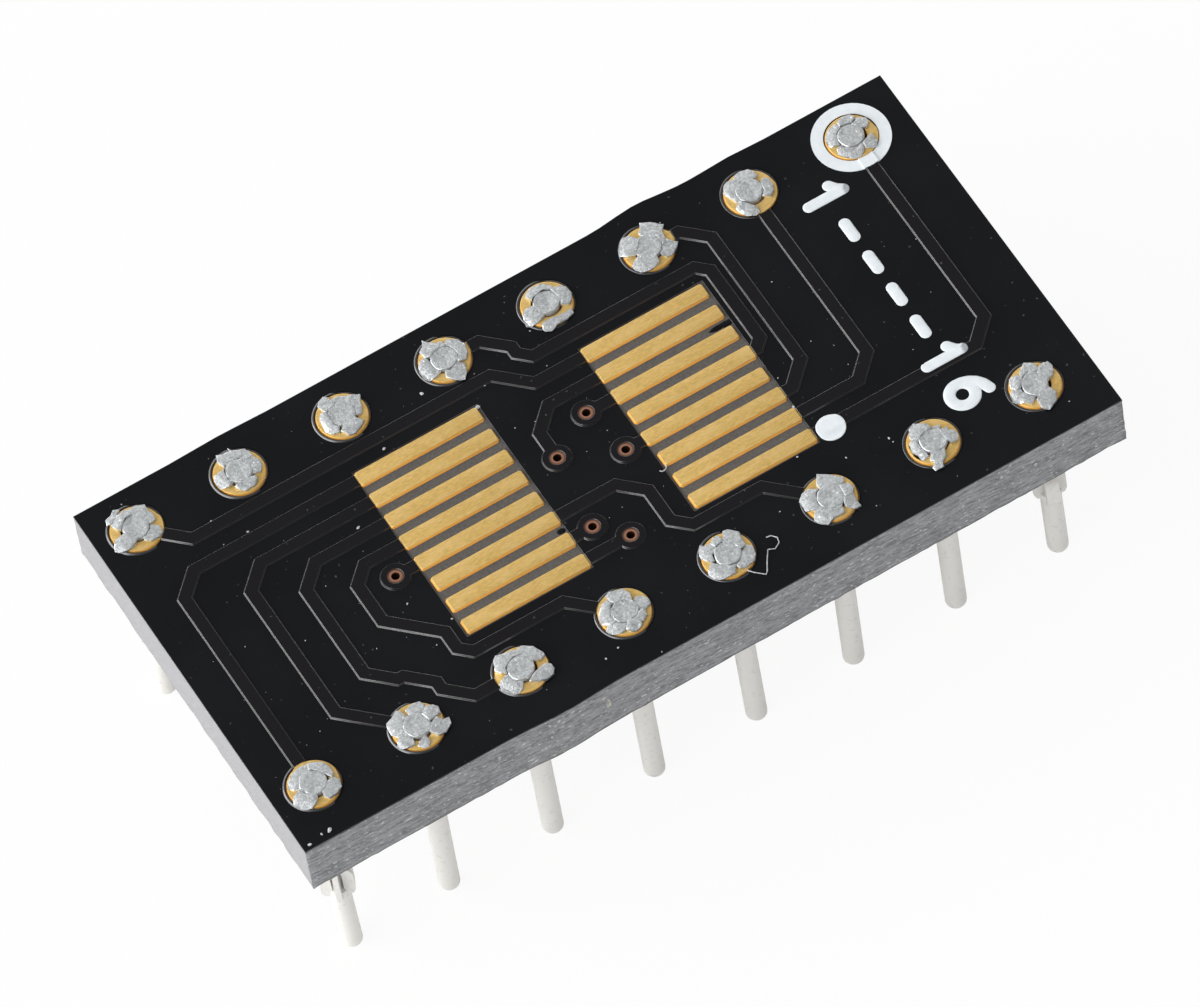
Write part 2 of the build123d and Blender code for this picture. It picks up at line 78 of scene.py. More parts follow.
# Torn petals of each staked head: outlines seen from above, in units of a hundredth of a millimetre from
# the pin's centre
PETAL_UNIT = 0.01
HEAD_PETALS = {
    1: (
        ((-53, 12), (-48, 28), (-34, 40), (-18, 44), (-14, 32), (-30, 20), (-30, 4), (-38, -2), (-50, 2)),
        ((-4, 32), (-4, 44), (10, 50), (24, 48), (28, 36), (16, 32), (6, 27)),
        ((26, 28), (36, 30), (50, 22), (51, 12), (40, 4), (30, 12)),
        ((14, -44), (18, -34), (34, -24), (40, -24), (40, -42), (34, -52), (20, -50)),
        (
            (-45, -26), (-40, -16), (-28, -17), (-24, -28), (-10, -34),
            (6, -34), (0, -48), (-8, -56), (-26, -50), (-38, -38),
        ),
    ),
    2: (
        ((-50, 27), (-40, 42), (-30, 48), (-16, 42), (-14, 28), (-28, 12), (-32, -4), (-40, -4), (-44, 12)),
        ((-9, 34), (-8, 47), (-4, 54), (8, 55), (24, 50), (32, 40), (30, 28), (16, 28), (0, 30)),
        ((34, 0), (40, 6), (50, 2), (50, -14), (44, -26), (34, -34), (24, -30), (32, -14)),
        ((-46, -24), (-36, -17), (-24, -28), (-12, -42), (-10, -56), (-20, -58), (-34, -50), (-42, -40)),
    ),
    3: (
        (
            (-62, 16), (-56, 30), (-44, 44), (-36, 50), (-24, 45),
            (-16, 34), (-10, 24), (-16, 6), (-32, 0), (-48, 5),
        ),
        (
            (6, 41), (12, 46), (16, 62), (36, 52), (56, 32), (43, 20),
            (40, 8), (39, -6), (28, -4), (16, 12), (6, 25),
        ),
        ((34, -4), (40, -4), (50, -18), (60, -24), (52, -33), (36, -44), (24, -42), (20, -34), (32, -24)),
        (
            (-52, -24), (-36, -17), (-28, -14), (-16, -28), (-2, -35),
            (-4, -48), (-24, -53), (-42, -48), (-52, -36),
        ),
    ),
    4: (
        (
            (-29, 38), (-20, 46), (-6, 49), (10, 45), (24, 34), (28, 22),
            (16, 25), (2, 26), (-12, 25), (-21, 18), (-24, 28),
        ),
        ((26, 16), (40, 20), (54, 10), (57, -8), (50, -22), (40, -28), (30, -24), (36, -8)),
        (
            (-62, -14), (-58, 0), (-48, 6), (-34, 6), (-30, -6),
            (-32, -14), (-24, -30), (-40, -31), (-56, -33), (-65, -26),
        ),
        (
            (-37, -52), (-32, -42), (-14, -40), (2, -44), (20, -44), (36, -42),
            (34, -54), (16, -60), (-8, -60), (-24, -66), (-36, -60),
        ),
    ),
    5: (
        (
            (-60, 0), (-56, 12), (-50, 20), (-37, 22), (-32, 8),
            (-33, -8), (-28, -22), (-38, -26), (-52, -28), (-61, -18),
        ),
        (
            (-36, 42), (-24, 50), (-17, 65), (-12, 55), (0, 42), (12, 42),
            (15, 32), (-2, 32), (-14, 29), (-22, 24), (-30, 28),
        ),
        ((20, 28), (32, 35), (48, 24), (55, 8), (50, -12), (40, -24), (27, -24), (34, -4), (30, 14)),
        ((-16, -44), (-10, -36), (4, -35), (18, -31), (28, -40), (24, -54), (11, -69), (2, -66), (-8, -56)),
    ),
    6: (
        ((-32, 47), (-24, 56), (-12, 62), (-4, 54), (-6, 36), (-16, 25), (-30, 25), (-30, 40)),
        (
            (-5, 32), (0, 43), (16, 46), (30, 36), (48, 30), (58, 23), (50, 12),
            (46, -2), (40, -16), (34, -18), (34, 8), (24, 24), (12, 30),
        ),
        (
            (-50, -16), (-46, 12), (-40, 22), (-28, 24), (-30, 12),
            (-32, -12), (-26, -24), (-30, -33), (-42, -28),
        ),
        ((-17, -38), (-6, -33), (10, -33), (24, -30), (30, -42), (16, -50), (2, -56), (-10, -53)),
    ),
    7: (
        ((-56, -14), (-56, 8), (-50, 17), (-32, 20), (-30, 8), (-33, -4), (-26, -14), (-40, -19)),
        (
            (-24, 44), (-20, 63), (-8, 55), (6, 56), (8, 64), (12, 53), (24, 47),
            (36, 42), (40, 20), (24, 22), (12, 30), (-4, 33), (-20, 29),
        ),
        ((24, 24), (36, 37), (44, 34), (44, 12), (52, -2), (48, -14), (40, -24), (27, -21), (30, 0)),
        (
            (-22, -34), (-14, -33), (-2, -37), (10, -33), (20, -34),
            (20, -42), (10, -50), (-8, -51), (-18, -44),
        ),
    ),
    8: (
        ((-40, 35), (-28, 47), (0, 49), (1, 29), (-14, 29), (-30, 16), (-36, 22)),
        ((-48, 41), (-44, 52), (-32, 56), (-20, 65), (-9, 57), (-24, 46), (-37, 37)),
        ((8, 46), (27, 47), (44, 39), (42, 20), (47, 16), (44, -2), (32, -2), (24, 24), (8, 30)),
        ((6, -33), (20, -24), (34, -18), (44, -26), (42, -42), (30, -48), (16, -46), (7, -40)),
        (
            (-65, -27), (-58, -14), (-52, -7), (-32, -8), (-26, -26),
            (-16, -35), (-32, -38), (-44, -40), (-60, -33),
        ),
    ),
    9: (
        (
            (-48, 22), (-42, 34), (-24, 46), (-6, 50), (14, 47),
            (12, 32), (-8, 24), (-24, 12), (-36, 6), (-42, 12),
        ),
        ((16, 46), (24, 42), (40, 34), (48, 16), (47, -2), (40, -4), (34, 12), (20, 24), (14, 34)),
        (
            (-58, -20), (-52, -10), (-36, -6), (-28, -20), (-14, -33),
            (-20, -42), (-34, -51), (-48, -42), (-56, -33),
        ),
        ((8, -40), (14, -34), (28, -22), (42, -14), (50, -24), (46, -40), (32, -48), (14, -50)),
    ),
    10: (
        (
            (-56, 12), (-56, 24), (-52, 40), (-36, 46), (-22, 56),
            (-16, 48), (-14, 34), (-20, 18), (-32, 0), (-46, 0),
        ),
        ((2, 46), (16, 52), (34, 50), (36, 38), (30, 28), (16, 24), (4, 30)),
        ((32, 18), (40, 28), (54, 24), (60, 16), (56, 0), (40, -2), (34, 6)),
        ((28, -16), (44, -8), (52, -18), (66, -19), (62, -34), (44, -46), (28, -44), (22, -32)),
        ((-62, -24), (-52, -10), (-36, -8), (-28, -20), (-30, -36), (-42, -36), (-50, -33)),
        ((-20, -44), (-14, -40), (0, -40), (2, -48), (-4, -57), (-14, -55)),
    ),
    11: (
        (
            (-49, 25), (-38, 50), (-29, 57), (-18, 51), (0, 49), (11, 44),
            (10, 34), (-6, 28), (-20, 20), (-30, 12), (-42, 18),
        ),
        ((16, 38), (22, 46), (30, 47), (48, 32), (58, 10), (58, 2), (46, 0), (34, 8), (24, 20), (18, 28)),
        (
            (-60, -22), (-56, -8), (-42, -4), (-32, -2), (-26, -20),
            (-20, -33), (-24, -44), (-36, -48), (-46, -44),
        ),
        ((4, -40), (20, -30), (36, -24), (48, -22), (58, -28), (58, -40), (50, -50), (32, -54), (16, -48)),
    ),
    12: (
        (
            (-14, 52), (-4, 57), (12, 51), (24, 48), (27, 32),
            (30, 16), (22, 16), (10, 28), (-4, 32), (-10, 40),
        ),
        (
            (-56, 0), (-56, 12), (-48, 24), (-36, 38), (-20, 40),
            (-12, 34), (-24, 24), (-30, 8), (-32, -10), (-44, -10),
        ),
        ((-56, -22), (-50, -16), (-38, -14), (-28, -22), (-16, -36), (-28, -42), (-44, -38), (-54, -30)),
        ((32, 6), (40, 14), (52, 10), (58, -4), (54, -14), (40, -18), (32, -8)),
        ((-16, -44), (-8, -38), (10, -38), (16, -42), (10, -53), (-2, -56), (-12, -52)),
        ((16, -34), (26, -24), (36, -22), (34, -36), (22, -44)),
    ),
    13: (
        (
            (-52, 24), (-46, 42), (-38, 53), (-32, 44), (-16, 42),
            (-14, 28), (-26, 20), (-32, 6), (-40, 9), (-48, 16),
        ),
        ((-14, 42), (-6, 50), (4, 48), (4, 34), (-8, 32)),
        ((12, 36), (20, 52), (30, 52), (48, 34), (44, 20), (42, 2), (34, 0), (28, 20), (16, 28)),
        (
            (-58, -22), (-54, -14), (-40, -6), (-28, -18), (-16, -32),
            (-6, -36), (-12, -48), (-32, -48), (-50, -42), (-58, -33),
        ),
        ((6, -36), (20, -33), (34, -18), (44, -8), (54, -12), (50, -32), (40, -44), (20, -48), (8, -44)),
    ),
    14: (
        (
            (-60, 6), (-60, 28), (-48, 40), (-30, 41), (-18, 30), (-20, 16),
            (-28, 6), (-30, -8), (-44, -8), (-50, -2), (-60, 0),
        ),
        ((-4, 44), (2, 58), (7, 66), (20, 56), (47, 30), (40, 20), (28, 18), (16, 26), (-2, 28)),
        ((30, 4), (36, 10), (48, 6), (54, -6), (44, -18), (32, -14)),
        (
            (-56, -30), (-48, -20), (-32, -18), (-24, -28), (-14, -36),
            (6, -38), (2, -50), (-20, -48), (-38, -54), (-50, -44),
        ),
        ((19, -36), (24, -26), (38, -16), (44, -22), (42, -40), (44, -53), (32, -54), (23, -44)),
    ),
    15: (
        (
            (-36, 36), (-28, 50), (-14, 58), (-6, 52), (6, 42),
            (8, 32), (-4, 30), (-14, 28), (-28, 24), (-34, 30),
        ),
        ((12, 28), (20, 33), (28, 28), (27, 20), (16, 20)),
        (
            (-52, -8), (-50, 14), (-40, 22), (-28, 20), (-28, 4),
            (-30, -14), (-32, -26), (-44, -26), (-50, -18),
        ),
        ((24, 6), (36, 12), (42, 6), (40, -4), (50, -6), (52, -18), (44, -28), (32, -24), (28, -10)),
        (
            (-34, -58), (-24, -48), (-28, -42), (-20, -33), (-4, -36),
            (8, -38), (0, -50), (-10, -58), (-14, -68), (-32, -66),
        ),
    ),
    16: (
        ((-46, 28), (-40, 40), (-28, 38), (-16, 34), (-16, 24), (-30, 14), (-40, 12), (-48, 20)),
        ((-12, 28), (-10, 42), (7, 58), (18, 48), (24, 42), (20, 28), (4, 26)),
        ((24, 20), (32, 30), (42, 36), (52, 34), (55, 20), (46, 4), (36, -8), (32, 0), (34, 12)),
        (
            (-62, -12), (-56, 8), (-42, 12), (-32, 6), (-32, -8),
            (-28, -24), (-22, -32), (-34, -36), (-44, -24), (-56, -20),
        ),
        ((-18, -56), (-14, -40), (0, -34), (20, -34), (24, -44), (16, -60), (4, -66), (-6, -70), (-14, -64)),
    ),
}

# Turn of the coined wings of each corner pin, in degrees
WING_TURNS = {1: 75, 8: 345, 9: 155, 16: 75}

# Lean of the pins that don't stand quite upright: shift of the tip to the right in millimetres, and where
# that right lies along X and Y
PIN_LEANS = {8: -0.125, 9: 0.11, 11: 0.035, 12: 0.035, 13: 0.05, 14: -0.035, 16: 0.035}
LEAN_WAY = (0.86, -0.5)

# Centres of the vias in millimetres, where the copper carries no gold
VIA_PLACES = (
    (0.81, -0.3175),
    (0.58, 0.9525),
    (-0.51, 0.3175),
    (-4.87, -0.3175),
    (-0.76, -1.5875),
    (-0.19, -2.2225),
)

# Pale tufts of glass on the front edge: place along X and Z, half breadth and half height in millimetres
GLASS_TUFTS = ((-2.53, 5.72, 0.07, 0.22), (-2.62, 6.02, 0.06, 0.06))

# Scraps of mask in the windows: place, length and breadth in millimetres
MASK_SMEARS = (
    (4.05, 1.26, 0.46, 0.13),
    (4.24, 1.25, 0.3, 0.16),
    (-1.36, -1.29, 0.2, 0.14),
)

# Dirt on the mask: place and size in millimetres
NAMED_SPECKS = (
    (-1.28, 2.38, 0.07),
    (-2.47, 3.02, 0.04),
    (-4.92, 1.19, 0.05),
    (-0.88, 2.78, 0.03),
    (4.33, -1.40, 0.05),
    (3.76, -2.51, 0.03),
    (4.61, -3.11, 0.03),
    (-5.00, -1.04, 0.03),
    (-4.40, -1.89, 0.03),
    (-7.46, 3.07, 0.05),
    (-3.47, 2.60, 0.045),
    (-2.10, 3.35, 0.05),
    (-9.16, -4.96, 0.07),
    (-9.69, -5.03, 0.05),
    (-9.35, -4.95, 0.04),
    (-1.83, -4.48, 0.03),
    (-2.18, -4.57, 0.03),
    (-1.11, -5.08, 0.02),
    (-6.93, 2.42, 0.035),
    (5.62, -3.20, 0.035),
)

# Fibres of lint on the mask: places along each in millimetres
CURL = ((1.14, -1.18), (1.17, -1.22), (1.23, -1.23), (1.28, -1.21), (1.31, -1.17), (1.33, -1.12))
HAIR = (
    (1.38, -4.31),
    (1.52, -4.49),
    (1.70, -4.67),
    (1.76, -4.62),
    (1.90, -4.38),
    (2.05, -4.16),
    (2.19, -4.23),
    (2.34, -4.14),
    (2.37, -4.01),
    (2.28, -3.90),
    (2.17, -3.88),
)

# Corner and size of the area where fine dust falls, and the two windows that it stays out of: their inner and
# outer ends along X and half their length along Y, in millimetres
DUST_CORNER = (-9.6, -4.9)
DUST_SPAN = (19.4, 9.5)
WINDOW_INNER = 1.2
WINDOW_OUTER = 4.4
WINDOW_HALF = 2.5

# Seeds of the petals' roughness and of the scattered dust, so that each run gives the same result
PETAL_SEED = 3
DUST_SEED = 7


def new_material(name, **inputs):
    """Procedural material with its shader's own sockets set; returns it with its tree and shader."""
    material = bpy.data.materials.new(name)
    material.use_nodes = True
    tree = material.node_tree
    shader = tree.nodes["Principled BSDF"]
    for key, value in inputs.items():
        shader.inputs[key.replace("_", " ")].default_value = value
    return material, tree, shader


def node(tree, kind, **values):
    """Node with its attributes set and its sockets given a value or a link."""
    made = tree.nodes.new("ShaderNode" + kind)
    for key, value in values.items():
        if hasattr(made, key):
            setattr(made, key, value)
            continue
        socket = made.inputs[int(key[1:])] if key[1:].isdigit() else made.inputs[key.replace("_", " ")]
        if isinstance(value, bpy.types.NodeSocket):
            tree.links.new(value, socket)
        else:
            socket.default_value = value
    return made


def in_millimetres(tree, stretch=(1, 1, 1), tilt=0.0):
    """Object coordinates in millimetres, tilted about Y and stretched along each axis."""
    coordinates = node(tree, "TexCoord")
    tilted = node(tree, "Mapping", Vector=coordinates.outputs["Object"], Rotation=(0, math.radians(tilt), 0))
    scale = [value / MM for value in stretch]
    mapping = node(tree, "Mapping", Vector=tilted.outputs["Vector"], Scale=scale)
    return mapping.outputs["Vector"]


def grain(tree, scale, detail=3.0, stretch=(1, 1, 1), roughness=0.5, tilt=0.0):
    """Noise from 0 to 1 with about scale cells to the millimetre."""
    vector = in_millimetres(tree, stretch, tilt)
    made = node(tree, "TexNoise", Vector=vector, Scale=scale, Detail=detail, Roughness=roughness)
    return made.outputs["Fac"]


def ramp(tree, value, low, high, low_out=0.0, high_out=1.0):
    """Value mapped from low..high to low_out..high_out, smoothly and clamped."""
    limits = {"_1": low, "_2": high, "_3": low_out, "_4": high_out}
    return node(tree, "MapRange", interpolation_type="SMOOTHSTEP", _0=value, **limits).outputs[0]


def arithmetic(tree, operation, first, second=0.0):
    """Result of a sum, product or the like."""
    return node(tree, "Math", operation=operation, _0=first, _1=second).outputs[0]


def between(tree, share, off, on):
    """Value that goes from off to on as the share goes from 0 to 1."""
    return node(tree, "MapRange", _0=share, _1=0.0, _2=1.0, _3=off, _4=on).outputs[0]


def distance_from(tree, place, kept, reach=(1, 1, 1)):
    """Distance from a place over the axes that are kept, as a share of the reach along each."""
    offset = node(tree, "VectorMath", operation="SUBTRACT", _0=in_millimetres(tree, kept), _1=place)
    share = node(tree, "VectorMath", operation="DIVIDE", _0=offset.outputs["Vector"], _1=reach)
    return node(tree, "VectorMath", operation="LENGTH", _0=share.outputs["Vector"]).outputs["Value"]


def blend(tree, factor, first, second):
    """Colour mixed from first to second."""
    return node(tree, "Mix", data_type="RGBA", _0=factor, _6=first, _7=second).outputs[2]


def tones(tree, share, tint, first, second):
    """Colour that goes from one brightness of a tint to another."""
    return blend(tree, share, colour(tint, first), colour(tint, second))


def plug(tree, shader, **sources):
    """Links node outputs to the shader's sockets."""
    for key, source in sources.items():
        tree.links.new(source, shader.inputs[key.replace("_", " ")])


def bump(tree, shader, height, depth):
    """Relief of a height field on a shader, depth in metres."""
    made = node(tree, "Bump", Strength=1.0, Distance=depth, Height=height)
    plug(tree, shader, Normal=made.outputs["Normal"])


def colour(value, factor=1.0):
    """Property colour as four numbers, brightened by a factor."""
    return (value[0] * factor, value[1] * factor, value[2] * factor, 1.0)


def height_of(tree):
    """Height of a point above the pin tips, in metres."""
    coordinates = node(tree, "TexCoord")
    return node(tree, "SeparateXYZ", Vector=coordinates.outputs["Object"]).outputs["Z"]


def facing_up(tree):
    """1 on faces that look up, 0 on side walls."""
    geometry = node(tree, "NewGeometry")
    upward = node(tree, "SeparateXYZ", Vector=geometry.outputs["True Normal"]).outputs["Z"]
    return ramp(tree, upward, 0.35, 0.8)


def mask_material(look, name, shine, index=1.5):
    """Slightly glossy black film, a little browner where it lies on copper, with fine dust in it."""
    gloss = look.mask_gloss
    material, tree, shader = new_material(name, Roughness=gloss, Specular_IOR_Level=shine, IOR=index)
    base = tones(tree, ramp(tree, grain(tree, 0.35), 0.35, 0.65), look.mask_colour, 1.0, 1.35)
    over_copper = ramp(tree, height_of(tree), MASK_FLAT + 0.015 * MM, MASK_HIGH - 0.005 * MM, 0.0, 0.75)
    base = blend(tree, over_copper, base, colour(look.mask_over_copper))
    dust = ramp(tree, grain(tree, 9.0, detail=1.0), 0.74, 0.8, 0.0, 0.35)
    base = blend(tree, dust, base, (0.16, 0.16, 0.17, 1.0))
    plug(tree, shader, Base_Color=base)
    bump(tree, shader, grain(tree, 5.0, detail=2.0), 0.004 * MM)
    return material


def laminate_material(look):
    """Glass-epoxy: dull brown-grey on its faces, streaked pale fibres on its sawn edges, its short ends
    painted lighter as painted light from the left.
    """
    material, tree, shader = new_material("glass_epoxy", Roughness=0.75, Specular_IOR_Level=0.3)
    weave = tones(tree, ramp(tree, grain(tree, 18.0), 0.3, 0.7), look.laminate_colour, 0.85, 1.15)
    streaks = grain(tree, 1.0, detail=6.0, stretch=(3.2, 3.2, 16.0), roughness=0.8, tilt=-4)
    fibres = tones(tree, ramp(tree, streaks, 0.38, 0.62), look.edge_colour, 0.5, 1.35)
    crumbs = ramp(tree, grain(tree, 20.0, stretch=(0.7, 0.7, 1.2)), 0.35, 0.65, 0.0, 0.45)
    fibres = blend(tree, crumbs, fibres, colour(look.edge_colour, 1.2))
    # Pale glass spots on the sawn edges, partly painted glints
    flecks_and_painted_glints = ramp(tree, grain(tree, 14.0, detail=1.0, stretch=(0.6, 0.6, 1.4)), 0.65, 0.72, 0.0, 0.8)
    fibres = blend(tree, flecks_and_painted_glints, fibres, (0.62, 0.63, 0.64, 1.0))
    for x, z, breadth, height in GLASS_TUFTS:
        away = distance_from(tree, (x, 0, z), (1, 0, 1), (breadth, 1, height))
        tuft = ramp(tree, away, 0.5, 1.0, 1.0, 0.0)
        frayed = arithmetic(tree, "MULTIPLY", tuft, ramp(tree, crumbs, 0.0, 0.3))
        fibres = blend(tree, frayed, fibres, (0.55, 0.52, 0.43, 1.0))
    rim = ramp(tree, height_of(tree), BOARD_LOW.z + 0.01 * MM, BOARD_LOW.z + 0.09 * MM, 0.6, 0.0)
    fibres = blend(tree, rim, fibres, colour(look.edge_colour, 0.35))
    # Painted light: the short ends, which face along X, are painted lighter than the long edges, standing in
    # for light from the left
    geometry = node(tree, "NewGeometry")
    sideways = node(tree, "SeparateXYZ", Vector=geometry.outputs["Normal"])
    along = arithmetic(tree, "ABSOLUTE", sideways.outputs["X"])
    painted_end_light = ramp(tree, along, 0.6, 0.9, 0.0, 0.8)
    fibres = blend(tree, painted_end_light, fibres, colour(look.painted_lit_end_colour))
    plug(tree, shader, Base_Color=blend(tree, facing_up(tree), fibres, weave))
    bump(tree, shader, streaks, 0.02 * MM)
    return material


def gold_material(look):
    """Satin gold with a fine grain, orange on its side walls, bare copper round the vias, with painted shade
    on the copper walls at the vias.
    """
    material, tree, shader = new_material("gold_on_copper", Metallic=1.0)
    fine = grain(tree, 26.0, stretch=(0.3, 1.4, 1))
    cloud = grain(tree, 4.0, stretch=(0.45, 1.2, 1))
    gold = tones(tree, ramp(tree, fine, 0.3, 0.7), look.gold_colour, 0.84, 1.08)
    gold = blend(tree, ramp(tree, cloud, 0.4, 0.68, 0.0, 0.5), gold, colour(look.gold_pale))
    gold = blend(tree, facing_up(tree), colour(look.gold_wall_colour), gold)
    to_vias = [distance_from(tree, (x, y, 0), (1, 1, 0)) for x, y in VIA_PLACES]
    near_via = to_vias[0]
    for to_via in to_vias[1:]:
        near_via = arithmetic(tree, "MINIMUM", near_via, to_via)
    copper = ramp(tree, near_via, 0.3, 0.34, 1.0, 0.0)
    bare = tones(tree, ramp(tree, near_via, 0.11, 0.18), look.via_colour, 1.1, 0.3)
    # Painted shade: the copper walls at the vias, down in the holes, darkened to 0.12 of the via colour
    bare = blend(tree, facing_up(tree), colour(look.via_colour, 0.12), bare)
    metal = ramp(tree, facing_up(tree), 0.0, 1.0, 0.1, look.gold_metal)
    rough = ramp(tree, fine, 0.2, 0.8, 0.34, 0.5)
    plug(tree, shader, Base_Color=blend(tree, copper, gold, bare), Metallic=metal, Roughness=rough)
    bump(tree, shader, fine, 0.004 * MM)
    return material


def head_material(look):
    """Struck tin: mottled grey with near-white spots that are painted glints."""
    material, tree, shader = new_material("struck_tin", Metallic=0.5)
    mottle = grain(tree, 18.0, detail=5.0, roughness=0.7)
    tint = tones(tree, ramp(tree, mottle, 0.32, 0.68), look.head_colour, 0.68, 1.14)
    # Painted glints: near-white spots scattered over the tin
    flecks_and_painted_glints = ramp(tree, grain(tree, 13.0, detail=2.0), 0.64, 0.72, 0.0, 0.75)
    tint = blend(tree, flecks_and_painted_glints, tint, (0.95, 0.96, 0.97, 1.0))
    plug(tree, shader, Base_Color=tint, Roughness=ramp(tree, mottle, 0.2, 0.8, 0.52, 0.3))
    bump(tree, shader, mottle, 0.022 * MM)
    return material


def torn_wall_highlight_material(look):
    """Torn walls of the petals, painted brighter than the head's top as a highlight."""
    material, tree, shader = new_material("torn_tin_painted_highlight", Metallic=0.85, Roughness=0.28)
    # Painted highlight: the walls take 1.1 to 1.5 times the head's colour
    tint = tones(tree, ramp(tree, grain(tree, 20.0), 0.3, 0.7), look.head_colour, 1.1, 1.5)
    plug(tree, shader, Base_Color=tint)
    return material


def shank_material(look):
    """Smooth pale tin with faint grey specks."""
    material, tree, shader = new_material("pale_tin", Metallic=0.1, Roughness=0.6)
    specks = ramp(tree, grain(tree, 9.0), 0.58, 0.7, 0.0, 0.3)
    plug(tree, shader, Base_Color=tones(tree, specks, look.shank_colour, 1.0, 0.6))
    return material


def ink_material(look):
    """Printed white ink, faintly mottled."""
    material, tree, shader = new_material("white_ink", Roughness=0.55)
    mottle = ramp(tree, grain(tree, 6.0), 0.3, 0.7)
    plug(tree, shader, Base_Color=tones(tree, mottle, look.ink_colour, 0.94, 1.0))
    bump(tree, shader, grain(tree, 16.0), 0.003 * MM)
    return material


def dust_material():
    """Pale lint and dust."""
    material, tree, shader = new_material("pale_dust", Roughness=0.8)
    mottle = ramp(tree, grain(tree, 20.0), 0.3, 0.7)
    plug(tree, shader, Base_Color=blend(tree, mottle, (0.35, 0.35, 0.36, 1), (0.62, 0.62, 0.63, 1)))
    return material


def as_object(bm, name, material):
    """Object from a bmesh, with its material."""
    mesh = bpy.data.meshes.new(name)
    bm.to_mesh(mesh)
    bm.free()
    mesh.materials.append(material)
    made = bpy.data.objects.new(name, mesh)
    bpy.context.collection.objects.link(made)
    return made


def make_piece(bm, name, material, slot, *replaced):
    """Piece that rides on the board, in place of the CAD nodes that it stands for."""
    piece = as_object(bm, name, material)
    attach(piece, "root")
    if replaced:
        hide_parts(*replaced)
    return piece


def dress(node_name, material):
    """Gives a carried-over CAD node its procedural material."""
    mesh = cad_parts[node_name].data
    mesh.materials.clear()
    mesh.materials.append(material)


def merged_copy(node_name):
    """CAD node's mesh as one closed bmesh with its flat faces whole."""
    bm = bmesh.new()
    bm.from_mesh(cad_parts[node_name].data)
    bmesh.ops.remove_doubles(bm, verts=bm.verts, dist=1e-7)
    bmesh.ops.dissolve_limit(bm, angle_limit=math.radians(0.5), verts=bm.verts, edges=bm.edges)
    bmesh.ops.recalc_face_normals(bm, faces=bm.faces)
    return bm


def lean(walls, low, reach):
    """Moves the vertices of upright walls that lie above a height along the walls' normals."""
    shifts = {}
    for face in walls:
        for vert in face.verts:
            if vert.co.z > low:
                shifts.setdefault(vert, []).append(face.normal.copy())
    for vert, normals in shifts.items():
        middle = sum(normals, Vector()).normalized()
        vert.co += middle * reach * MM / max(0.4, middle.dot(normals[0]))


def smooth_slopes(bm):
    """Shades sloping faces smooth and keeps level ones flat."""
    for face in bm.faces:
        face.smooth = abs(face.normal.z) < 0.999


def smooth(faces):
    """Shades faces smooth."""
    for face in faces:
        face.smooth = True


def round_edges(bm, edges, radius, segments, clamp=True):
    """Rounds edges, radius in millimetres."""
    bmesh.ops.bevel(
        bm,
        geom=edges,
        offset=radius * MM,
        offset_type="OFFSET",
        segments=segments,
        profile=0.5,
        affect="EDGES",
        clamp_overlap=clamp,
        material=-1,
    )


def clamped(value):
    """Value held between 0 and 1."""
    return max(0.0, min(1.0, value))


def ripple(spot, across, up, shift=0.0):
    """Smooth noise at a place in millimetres, finer across the board or up it as the two factors grow."""
    return noise.noise(Vector((spot.x * across, spot.y * across, spot.z * up + shift)))


def make_lip(look, place):
    """Crescent of mask that climbs at the left of a land, less so towards the right of the board."""
    inner = look.lip_radius * MM
    outer = inner + look.lip_run * MM
    low = MASK_FLAT - 0.01 * MM
    high = MASK_FLAT + look.lip_height * MM
    middle = (inner + outer) / 2
    profile = [(inner, low), (inner, high - 0.004 * MM), (inner + 0.008 * MM, high)]
    profile += [(middle, (high + MASK_FLAT) / 2), (outer, MASK_FLAT - 0.001 * MM), (outer, low), (inner, low)]
    lip = turned(profile, 48)
    bmesh.ops.recalc_face_normals(lip, faces=lip.faces)
    strength = max(0.15, min(1.0, 0.45 - 0.065 * place.x / MM))
    for vert in lip.verts:
        if vert.co.z > MASK_FLAT:
            leftward = max(0.0, 0.25 - vert.co.x / vert.co.xy.length)
            vert.co.z = MASK_FLAT + (vert.co.z - MASK_FLAT) * min(1.0, leftward) * strength
    for face in lip.faces:
        face.smooth = True
        face.material_index = 1
    bmesh.ops.translate(lip, verts=lip.verts, vec=place)
    return lip


def make_mask_film(look, material, shoulder):
    """Upper mask film: soft shoulders over the tracks and rounded rims at its openings."""
    bm = merged_copy("solder_mask_top")
    low = MASK_FLAT - 0.005 * MM
    high = MASK_FLAT + 0.005 * MM
    walls = []
    for face in bm.faces:
        levels = [vert.co.z for vert in face.verts]
        if abs(face.normal.z) < 0.2 and low < min(levels) < high < max(levels):
            walls.append(face)
    lean(walls, high, -look.shoulder)
    rounded = [
        edge
        for edge in bm.edges
        if len(edge.link_faces) == 2
        and min(vert.co.z for vert in edge.verts) > low
        and edge.calc_face_angle(0) > math.radians(20)
    ]
    round_edges(bm, rounded, look.rim_radius, 3)
    smooth_slopes(bm)
    for face in bm.faces:
        middle = face.calc_center_median().z
        face.material_index = int(0.2 < face.normal.z < 0.97 and MASK_FLAT - 0.02 * MM < middle < MASK_HIGH)
    for number in PINS[1:]:
        absorb(bm, make_lip(look, pin_centre(number)))
    for x, y, length, breadth in MASK_SMEARS:
        add_smear(bm, x, y, length, breadth)
    piece = make_piece(bm, "mask_film_top", material, "solder_mask", "solder_mask_top")
    piece.data.materials.append(shoulder)
    return piece


